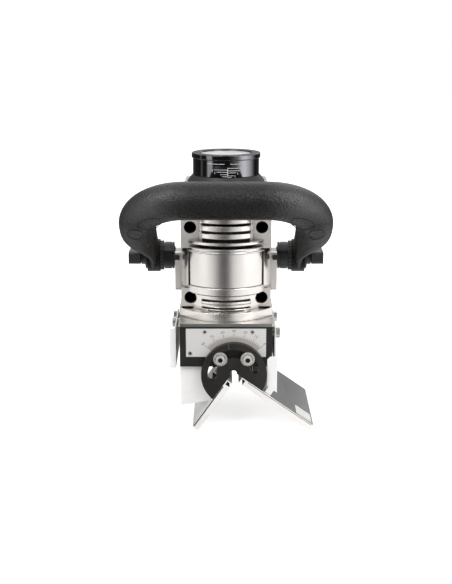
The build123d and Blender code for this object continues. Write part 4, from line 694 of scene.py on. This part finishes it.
slot_lines = Shapes(on_round(LOWER_RADIUS))
for i, drop in enumerate(SLOT_DROPS):
    top = LOWER_GROOVE_TOP - i * RIB_PITCH
    for side in (-1, 1):
        slot_lines.line((side * SLOT_HALF, top), (side * SLOT_HALF, top - drop), FINE)
    if i == 0:
        level_line(slot_lines, SLOT_HALF, top - drop, SLOT_WIDTH, 16)
shade_lines("slot_lines", slot_lines)
# Painted shade standing in for a slot above the flange
flange_slot = Shapes(on_round(LOWER_RADIUS))
level_line(flange_slot, FLANGE_SLOT_HALF, FLANGE_TOP + 0.5 * MM, FLANGE_SLOT_WIDTH, 16)
shade_lines("flange_slot", flange_slot)


def lump(shapes, middle):
    """An upright lump with rounded ends, where a groove of the column ends."""
    turns = [math.tau * k / LUMP_SIDES for k in range(LUMP_SIDES)]
    rings = []
    for height_share, swell in LUMP_SHAPE:
        radius, rise = LUMP_RADIUS * swell, LUMP_REACH * height_share
        rings.append([middle + Vector((math.cos(t) * radius, math.sin(t) * radius, rise)) for t in turns])
    skin(shapes, rings, False)


groove_webs = Shapes()
groove_ends = Shapes()
for side in (-1, 1):
    inner, outer = side * (RIB_HALF - WEB_OVERLAP), side * (EAR_INNER + WEB_OVERLAP)
    front = EAR_FRONT - WEB_DEPTH
    corners = ((inner, EAR_FRONT), (outer, EAR_FRONT), (outer, front + WEB_SLOPE), (inner, front))
    groove_webs.prism(corners, FIN_TOP, DECK_BOTTOM)
    for i in range(RIB_COUNT):
        z = FIRST_RIB + (i + 0.5) * RIB_PITCH
        lump(groove_ends, Vector(((inner + outer) / 2, front + LUMP_SUNK, z)))
piece("groove_webs", "machine", "cast_face", groove_webs)
piece("groove_ends", "machine", "cast_bead", groove_ends, smooth=True)

# Black keys that lock the handle's hubs at the bosses
BOSS_FRONT = SPINDLE_Y - 12.0 * MM
KEY_INNER, KEY_OUTER = 45.7 * MM, 51.0 * MM
KEY_BACK, KEY_FRONT = BOSS_FRONT + 0.1 * MM, BOSS_FRONT - 1.6 * MM
KEY_LOW, KEY_TOP = HANDLE_Z - 2.0 * MM, HANDLE_Z + 2.6 * MM
keys = Shapes()
for side in (-1, 1):
    inner, outer = side * KEY_INNER, side * KEY_OUTER
    corners = ((inner, KEY_BACK), (outer, KEY_BACK), (outer, KEY_FRONT), (inner, KEY_FRONT))
    keys.prism(corners, KEY_LOW, KEY_TOP)
piece("hub_keys", "machine", "black_plastic", keys)


def facing(front, x=0.0, z=0.0):
    """A place on an upright face at y = front: a runs across from x, and b up from z."""
    return lambda a, b, h: (x + a, front + PRINT_SUNK - h, z + b)


def polar(degrees, radius):
    """A point on the scale; degrees count from the top, to the right."""
    return (math.sin(math.radians(degrees)) * radius, math.cos(math.radians(degrees)) * radius)


# Degree scale on the plate above the quadrant
SCALE_HALF, TICK_STEP, NUMBER_STEP, ARC_STEP = 45, 3, 15, 2.5
LONG_END, SHORT_END, NUMBER_AT, END_NUMBER_AT = 39.4 * MM, 37.3 * MM, 42.0 * MM, 41.2 * MM
TICK_WIDTH, TICK_OVERLAP, NUMBER_SIZE = 0.42 * MM, 0.2 * MM, 3.9 * MM
on_plate = facing(PLATE[0].y, PIVOT.x, PIVOT.z)
arc = Shapes(on_plate)
ARC = [-SCALE_HALF + ARC_STEP * i for i in range(int(2 * SCALE_HALF / ARC_STEP) + 1)]
arc.ribbon([polar(d, BAND_OUTER) for d in ARC], [polar(d, BAND_INNER) for d in ARC])
piece("scale_arc", "machine", "ink_band", arc)
ticks = Shapes(on_plate)
for d in range(-SCALE_HALF, SCALE_HALF + 1, TICK_STEP):
    end = LONG_END if d % NUMBER_STEP == 0 else SHORT_END
    ticks.line(polar(d, BAND_OUTER - TICK_OVERLAP), polar(d, end), TICK_WIDTH)
for d in range(-SCALE_HALF, SCALE_HALF + 1, NUMBER_STEP):
    radius = NUMBER_AT if abs(d) < SCALE_HALF else END_NUMBER_AT
    ticks.text(str(SCALE_HALF - d), NUMBER_SIZE, polar(d, radius), -math.radians(d))
piece("scale_ticks", "machine", "ink_grey", ticks)

# Line on the quadrant's rim that is read against the scale
REST_DEGREES = -10
POINTER_START, POINTER_END = 26.2 * MM, 31.3 * MM
pointer = Shapes(facing(QUADRANT[0].y, PIVOT.x, PIVOT.z))
pointer.line(polar(REST_DEGREES, POINTER_START), polar(REST_DEGREES, POINTER_END), TICK_WIDTH)
piece("pointer_line", "guide", "ink_grey", pointer)


def ring(shapes, middle, inner, outer, thick, steps=24):
    """A flat ring round the middle (a, b)."""
    turns = [math.tau * i / steps for i in range(steps + 1)]
    sides = []
    for radius in (outer, inner):
        sides.append([(middle[0] + radius * math.cos(t), middle[1] + radius * math.sin(t)) for t in turns])
    shapes.ribbon(*sides, 0.0, thick)


# Small screws of the scale plate: a dark cross of painted shade in each head, where its cross recess is
SCREW_TOP, SCREW_LOW = PLATE[1].z - 3.4 * MM, PLATE[0].z + 3.4 * MM
SCREW_SPOTS = ((-20.3 * MM, SCREW_TOP), (25.1 * MM, SCREW_TOP), (-34.3 * MM, SCREW_LOW))
CROSS_TURNS = (0.5, 2.07)
CROSS_HALF, CROSS_WIDTH = 0.95 * MM, 0.5 * MM
cross_shades = Shapes(facing(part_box("scale_screws")[0].y))
for x, z in SCREW_SPOTS:
    for turn in CROSS_TURNS:
        a, b = math.cos(turn) * CROSS_HALF, math.sin(turn) * CROSS_HALF
        cross_shades.line((x - a, z - b), (x + a, z + b), CROSS_WIDTH)
piece("screw_crosses", "machine", "deep", cross_shades)


def clamp_spot(side):
    """The middle (x, z) of one of the two clamp screws."""
    points = [v.co for v in nodes["clamp_screws"].data.vertices if (v.co.x - PIVOT.x) * side > 0]
    return [(min(p[i] for p in points) + max(p[i] for p in points)) / 2 for i in (0, 2)]


# Clamp screws: dark rings of painted shade round each head on its washer, and painted shade in the sockets
SPOTS = [clamp_spot(side) for side in (-1, 1)]
SOCKET_FRONT, SOCKET_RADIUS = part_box("clamp_screws")[0].y + 0.3 * MM, 2.62 * MM
WASHER_SHADE_RINGS, WASHER_SHADE_THICK = ((4.4 * MM, 4.95 * MM), (5.75 * MM, 6.0 * MM)), 0.05 * MM
washer_lines = Shapes(facing(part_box("clamp_washers")[0].y))
for spot in SPOTS:
    for inner, outer in WASHER_SHADE_RINGS:
        ring(washer_lines, spot, inner, outer, WASHER_SHADE_THICK)
piece("washer_lines", "machine", "line_shade", washer_lines)


def in_socket(c, n):
    return c.y > SOCKET_FRONT and min(math.hypot(c.x - x, c.z - z) for x, z in SPOTS) < SOCKET_RADIUS


# Painted shade in the clamp screws' sockets
tint("clamp_screws", "deep", in_socket)

# Bright raised ring round the head of each small screw
RING_INNER, RING_OUTER, RING_THICK = 1.6 * MM, 2.4 * MM, 0.25 * MM
rings = Shapes(facing(PLATE[0].y))
for spot in SCREW_SPOTS:
    ring(rings, spot, RING_INNER, RING_OUTER, RING_THICK)
piece("screw_rings", "machine", "washer", rings)

# Bare pale label on the right guide sheet, and a black strip of painted shade on it between the quadrants
RIGHT_LEAN, LEFT_LEAN = math.radians(35), math.radians(55)
SHEET_TOP = 2.75 * MM


def on_sheet(a, b, h):
    """a runs down the sheet from the pivot line, b along the machine from the spindle."""
    up = SHEET_TOP + h
    return (PIVOT.x + a * math.cos(RIGHT_LEAN) + up * math.sin(RIGHT_LEAN), SPINDLE_Y + b,
            PIVOT.z - a * math.sin(RIGHT_LEAN) + up * math.cos(RIGHT_LEAN))


def patch(start, end, front, rear, thick):
    """A flat rectangle on the sheet."""
    shapes = Shapes(on_sheet)
    shapes.ribbon([(start, front), (end, front)], [(start, rear), (end, rear)], 0.0, thick)
    return shapes


LABEL_START, LABEL_END = 72.0 * MM, 90.0 * MM
LABEL_FRONT, LABEL_REAR = -60.0 * MM, -38.0 * MM
LABEL_THICK, SHADE_STRIP_THICK = 0.12 * MM, 0.2 * MM
label = patch(LABEL_START, LABEL_END, LABEL_FRONT, LABEL_REAR, LABEL_THICK)
piece("plain_label", "guide", "label", label)
# Painted shade on the sheet under the quadrants
SHADE_STRIP_START, SHADE_STRIP_END = 22.0 * MM, 30.0 * MM
SHADE_STRIP_GAP = 1.0 * MM
SHADE_STRIP_FRONT = QUADRANT[1].y - SPINDLE_Y + SHADE_STRIP_GAP
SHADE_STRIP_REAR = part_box("rear_quadrant")[0].y - SPINDLE_Y - SHADE_STRIP_GAP
shade_strip = patch(SHADE_STRIP_START, SHADE_STRIP_END, SHADE_STRIP_FRONT, SHADE_STRIP_REAR, SHADE_STRIP_THICK)
piece("sheet_seal", "guide", "deep", shade_strip)

# Painted shade: a dark strip for the gap between each guide bar and its sheet, seen on their front ends
gap_shades = Shapes()
BAR_TOP = 1.7 * MM
BAR_BEND, BAR_TIP = 3.0 * MM, 1.5 * MM
for node, side, lean, low_edge, high_edge in (  # the edges are heights over the pivot line
    ("right_guide_bar", 1, RIGHT_LEAN, BAR_TOP - 0.3 * MM, BAR_TOP + 0.2 * MM),
    ("left_guide_bar", -1, LEFT_LEAN, BAR_TOP - 0.1 * MM, SHEET_TOP - 0.05 * MM),
):
    along = Vector((side * math.cos(lean), 0, -math.sin(lean)))
    up = Vector((side * math.sin(lean), 0, math.cos(lean)))
    reach = [(v.co - PIVOT).dot(along) for v in nodes[node].data.vertices]
    front = min(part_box(node)[0].y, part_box(node.replace("bar", "sheet"))[0].y)
    gap_shades.place = lambda a, b, h: Vector((PIVOT.x, front - h, PIVOT.z)) + along * a + up * b
    start, end = min(reach) + BAR_BEND, max(reach) - BAR_TIP
    gap_shades.ribbon([(start, high_edge), (end, high_edge)], [(start, low_edge), (end, low_edge)], -PRINT, PRINT)
piece("bar_gaps", "guide", "deep", gap_shades)

# Moulded outlines of the handle's soft inlays, laid on the grip where a ray from the front meets it
GRIP = BVHTree.FromObject(nodes["handle_grip"], bpy.context.evaluated_depsgraph_get())
LENS = bpy.context.scene.camera.location.copy()
TO_FRAME = bpy.context.scene.camera.rotation_euler.to_matrix()
PIXELS = 1000.0
MIDDLE_X, MIDDLE_Y = 226, 292


def grip_point(px, py):
    """Where the line of sight through a pixel of the front view meets the grip."""
    ray = TO_FRAME @ Vector(((px - MIDDLE_X) / PIXELS, (MIDDLE_Y - py) / PIXELS, -1.0))
    hit, normal, _, _ = GRIP.ray_cast(LENS, ray.normalized())
    return hit, normal


def rounded_line(points):
    """More points along a line of corners, with each corner cut off three times over."""
    for _ in range(3):
        cut = []
        for i in range(len(points)):
            a, b = Vector(points[i]), Vector(points[(i + 1) % len(points)])
            cut += [a.lerp(b, 0.25), a.lerp(b, 0.75)]
        points = cut
    return points


SEAM_RADIUS, SEAM_SUNK = 0.42 * MM, 0.3
# Corners of the inlays in pixels: across from the middle of the picture, and down from its top
CENTRE_INLAY = ((-45.5, 211.2), (0, 209.6), (47.5, 211.2), (50, 214.2), (46, 218.8), (0, 217.4), (-44, 218.8),
                (-48, 214.2))
UPPER_INLAY = ((67, 218), (78, 219), (87.5, 222.5), (90, 226), (84, 229.5), (74, 229.5), (63, 226))
LOWER_INLAY = ((83, 231.5), (92, 229.5), (99, 231), (98, 237), (90, 240), (83, 238))


def seam(shapes, outline, side=1):
    """The edge of one inlay, partly sunk in the grip; side is -1 for its mirror image."""
    rows = []
    for x, y in rounded_line([(MIDDLE_X + side * dx, y) for dx, y in outline]):
        hit, normal = grip_point(x, y)
        if hit is not None:
            rows.append((hit - normal * SEAM_RADIUS * SEAM_SUNK, normal))
    tube(shapes, rows, True, SEAM_RADIUS)


seams = Shapes()
seam(seams, CENTRE_INLAY)
for side in (-1, 1):
    seam(seams, UPPER_INLAY, side)
    seam(seams, LOWER_INLAY, side)
piece("grip_seams", "handle", "grip_groove", seams, smooth=True)


def azimuth_ramp(tree, direction, stops):
    """Brightness by compass direction: 0 is in front, 90 to the right; stops are (degrees, value)."""
    parts = tree.nodes.new("ShaderNodeSeparateXYZ")
    tree.links.new(direction, parts.inputs[0])
    back = tree.nodes.new("ShaderNodeMath")
    back.operation = "MULTIPLY"
    back.inputs[1].default_value = -1.0
    tree.links.new(parts.outputs["Y"], back.inputs[0])
    angle = tree.nodes.new("ShaderNodeMath")
    angle.operation = "ARCTAN2"
    tree.links.new(parts.outputs["X"], angle.inputs[0])
    tree.links.new(back.outputs[0], angle.inputs[1])
    share = tree.nodes.new("ShaderNodeMapRange")
    share.inputs["From Min"].default_value = -math.pi
    share.inputs["From Max"].default_value = math.pi
    tree.links.new(angle.outputs[0], share.inputs["Value"])
    node = tree.nodes.new("ShaderNodeValToRGB")
    fill_ramp(node.color_ramp, [((degrees + 180) / 360, (value,) * 3) for degrees, value in stops])
    tree.links.new(share.outputs["Result"], node.inputs["Fac"])
    return node.outputs["Color"]


# Stage: pale floor, white background and plain soft light. What the metal mirrors is darker in front than at
# the sides: STUDIO level with it, SKY above it, and FAR_STUDIO on the floor from FAR_START outwards.
STUDIO = (
    (-180, 0.3), (-140, 0.16), (-116, 0.25), (-100, 0.85), (-84, 1.0), (-60, 1.1), (-40, 1.05), (-30, 0.9),
    (-20, 0.5), (-12, 0.16), (0, 0.1), (7, 0.24), (13, 0.75), (24, 1.0), (40, 1.15), (110, 1.2), (126, 0.35),
    (144, 0.14), (180, 0.3),
)
FAR_STUDIO = (
    (-180, 0.1), (-96, 0.04), (-90, 0.5), (-84, 0.06), (-68, 0.04), (-62, 1.7), (-48, 1.9), (-43, 0.05),
    (10, 0.04), (24, 0.3), (38, 0.8), (54, 3.2), (66, 3.6), (84, 2.2), (104, 0.5), (114, 0.04), (180, 0.1),
)
SKY = (
    (-180, 0.45), (-90, 0.6), (-60, 1.0), (-36, 0.6), (-18, 0.24), (0, 0.18), (18, 0.24), (36, 0.65),
    (60, 1.1), (90, 0.7), (180, 0.45),
)
FAR_START, FAR_END = 1.15, 1.6  # metres from the middle of the floor
SKY_START, SKY_END = 0.3, 0.62
PLAIN_COLOUR, WHITE = (1.0, 0.99, 0.98, 1.0), (1.0, 1.0, 1.0, 1.0)
PLAIN_LIGHT, FLOOR_TONE, FLOOR_LIFT = 0.56, 0.8, 0.62
FLOOR_HALF = 6.0
LAMP_AIM = Vector((0.0, SPINDLE_Y, 120.0 * MM))
LAMPS = (  # name, place, size in metres and power in watts
    ("key", (-0.9, -1.3, 1.7), 1.0, 17.0),
    ("fill", (1.1, -1.2, 1.3), 1.0, 13.0),
    ("top", (0.0, -0.2, 2.2), 2.6, 9.0),
    ("back", (0.3, 1.5, 1.6), 2.2, 13.0),
)


def ray_mix(tree, seen, plain, rays):
    """Shows seen to the named kinds of ray and plain to the rest."""
    path = tree.nodes.new("ShaderNodeLightPath")
    total = path.outputs[rays[0]]
    for name in rays[1:]:
        node = tree.nodes.new("ShaderNodeMath")
        node.operation = "MAXIMUM"
        tree.links.new(total, node.inputs[0])
        tree.links.new(path.outputs[name], node.inputs[1])
        total = node.outputs[0]
    mix = tree.nodes.new("ShaderNodeMixShader")
    tree.links.new(total, mix.inputs[0])
    tree.links.new(plain, mix.inputs[1])
    tree.links.new(seen, mix.inputs[2])
    return mix.outputs[0]


def make_world():
    """White to the camera, plain soft light on dull surfaces, and the studio's light and dark in mirrors."""
    world = bpy.data.worlds.new("studio")
    bpy.context.scene.world = world
    world.use_nodes = True
    tree = world.node_tree
    plain = tree.nodes["Background"]
    plain.inputs["Color"].default_value = PLAIN_COLOUR
    plain.inputs["Strength"].default_value = PLAIN_LIGHT
    white = tree.nodes.new("ShaderNodeBackground")
    white.inputs["Color"].default_value = WHITE
    glossy = tree.nodes.new("ShaderNodeBackground")
    direction = tree.nodes.new("ShaderNodeTexCoord").outputs["Generated"]
    height = tree.nodes.new("ShaderNodeSeparateXYZ")
    tree.links.new(direction, height.inputs[0])
    sky = tree.nodes.new("ShaderNodeMapRange")
    sky.inputs["From Min"].default_value = SKY_START
    sky.inputs["From Max"].default_value = SKY_END
    tree.links.new(height.outputs["Z"], sky.inputs["Value"])
    blend = tree.nodes.new("ShaderNodeMixRGB")
    tree.links.new(azimuth_ramp(tree, direction, SKY), blend.inputs["Color2"])
    tree.links.new(sky.outputs["Result"], blend.inputs["Fac"])
    tree.links.new(azimuth_ramp(tree, direction, STUDIO), blend.inputs["Color1"])
    tree.links.new(blend.outputs["Color"], glossy.inputs["Color"])
    shown = ray_mix(tree, glossy.outputs[0], plain.outputs[0], ["Is Glossy Ray"])
    shown = ray_mix(tree, white.outputs[0], shown, ["Is Camera Ray", "Is Transmission Ray"])
    tree.links.new(shown, tree.nodes["World Output"].inputs["Surface"])


def make_floor():
    """White to the camera, plain and dull for soft light, and the studio's light and dark in mirrors."""
    mesh = bpy.data.meshes.new("floor")
    corners = [(x * FLOOR_HALF, y * FLOOR_HALF, 0) for x, y in ((-1, -1), (1, -1), (1, 1), (-1, 1))]
    mesh.from_pydata(corners, [], [(0, 1, 2, 3)])
    floor = bpy.data.objects.new("floor", mesh)
    bpy.context.scene.collection.objects.link(floor)
    material = bpy.data.materials.new("floor")
    material.use_nodes = True
    tree = material.node_tree
    tree.nodes.remove(tree.nodes["Principled BSDF"])
    diffuse = tree.nodes.new("ShaderNodeBsdfDiffuse")
    diffuse.inputs["Color"].default_value = (FLOOR_TONE, FLOOR_TONE, FLOOR_TONE, 1.0)
    lift = tree.nodes.new("ShaderNodeEmission")
    lift.inputs["Strength"].default_value = FLOOR_LIFT
    seen = tree.nodes.new("ShaderNodeAddShader")
    tree.links.new(diffuse.outputs[0], seen.inputs[0])
    tree.links.new(lift.outputs[0], seen.inputs[1])
    mirrored = tree.nodes.new("ShaderNodeEmission")
    place = tree.nodes.new("ShaderNodeTexCoord").outputs["Object"]
    away = tree.nodes.new("ShaderNodeVectorMath")
    away.operation = "LENGTH"
    tree.links.new(place, away.inputs[0])
    far = tree.nodes.new("ShaderNodeMapRange")
    far.inputs["From Min"].default_value = FAR_START
    far.inputs["From Max"].default_value = FAR_END
    tree.links.new(away.outputs["Value"], far.inputs["Value"])
    rings = tree.nodes.new("ShaderNodeMixRGB")
    tree.links.new(far.outputs["Result"], rings.inputs["Fac"])
    tree.links.new(azimuth_ramp(tree, place, STUDIO), rings.inputs["Color1"])
    tree.links.new(azimuth_ramp(tree, place, FAR_STUDIO), rings.inputs["Color2"])
    tree.links.new(rings.outputs["Color"], mirrored.inputs["Color"])
    shown = ray_mix(tree, mirrored.outputs[0], diffuse.outputs[0], ["Is Glossy Ray"])
    shown = ray_mix(tree, seen.outputs[0], shown, ["Is Camera Ray", "Is Transmission Ray"])
    tree.links.new(shown, tree.nodes["Material Output"].inputs["Surface"])
    mesh.materials.append(material)


def make_lamps():
    for name, place, size, power in LAMPS:
        data = bpy.data.lights.new(name, "AREA")
        data.shape = "SQUARE"
        data.size = size
        data.energy = power
        lamp = bpy.data.objects.new(name, data)
        bpy.context.scene.collection.objects.link(lamp)
        lamp.location = place
        lamp.rotation_euler = (LAMP_AIM - lamp.location).to_track_quat("-Z", "Y").to_euler()


make_world()
make_floor()
make_lamps()
bpy.context.scene.view_settings.view_transform = "Standard"
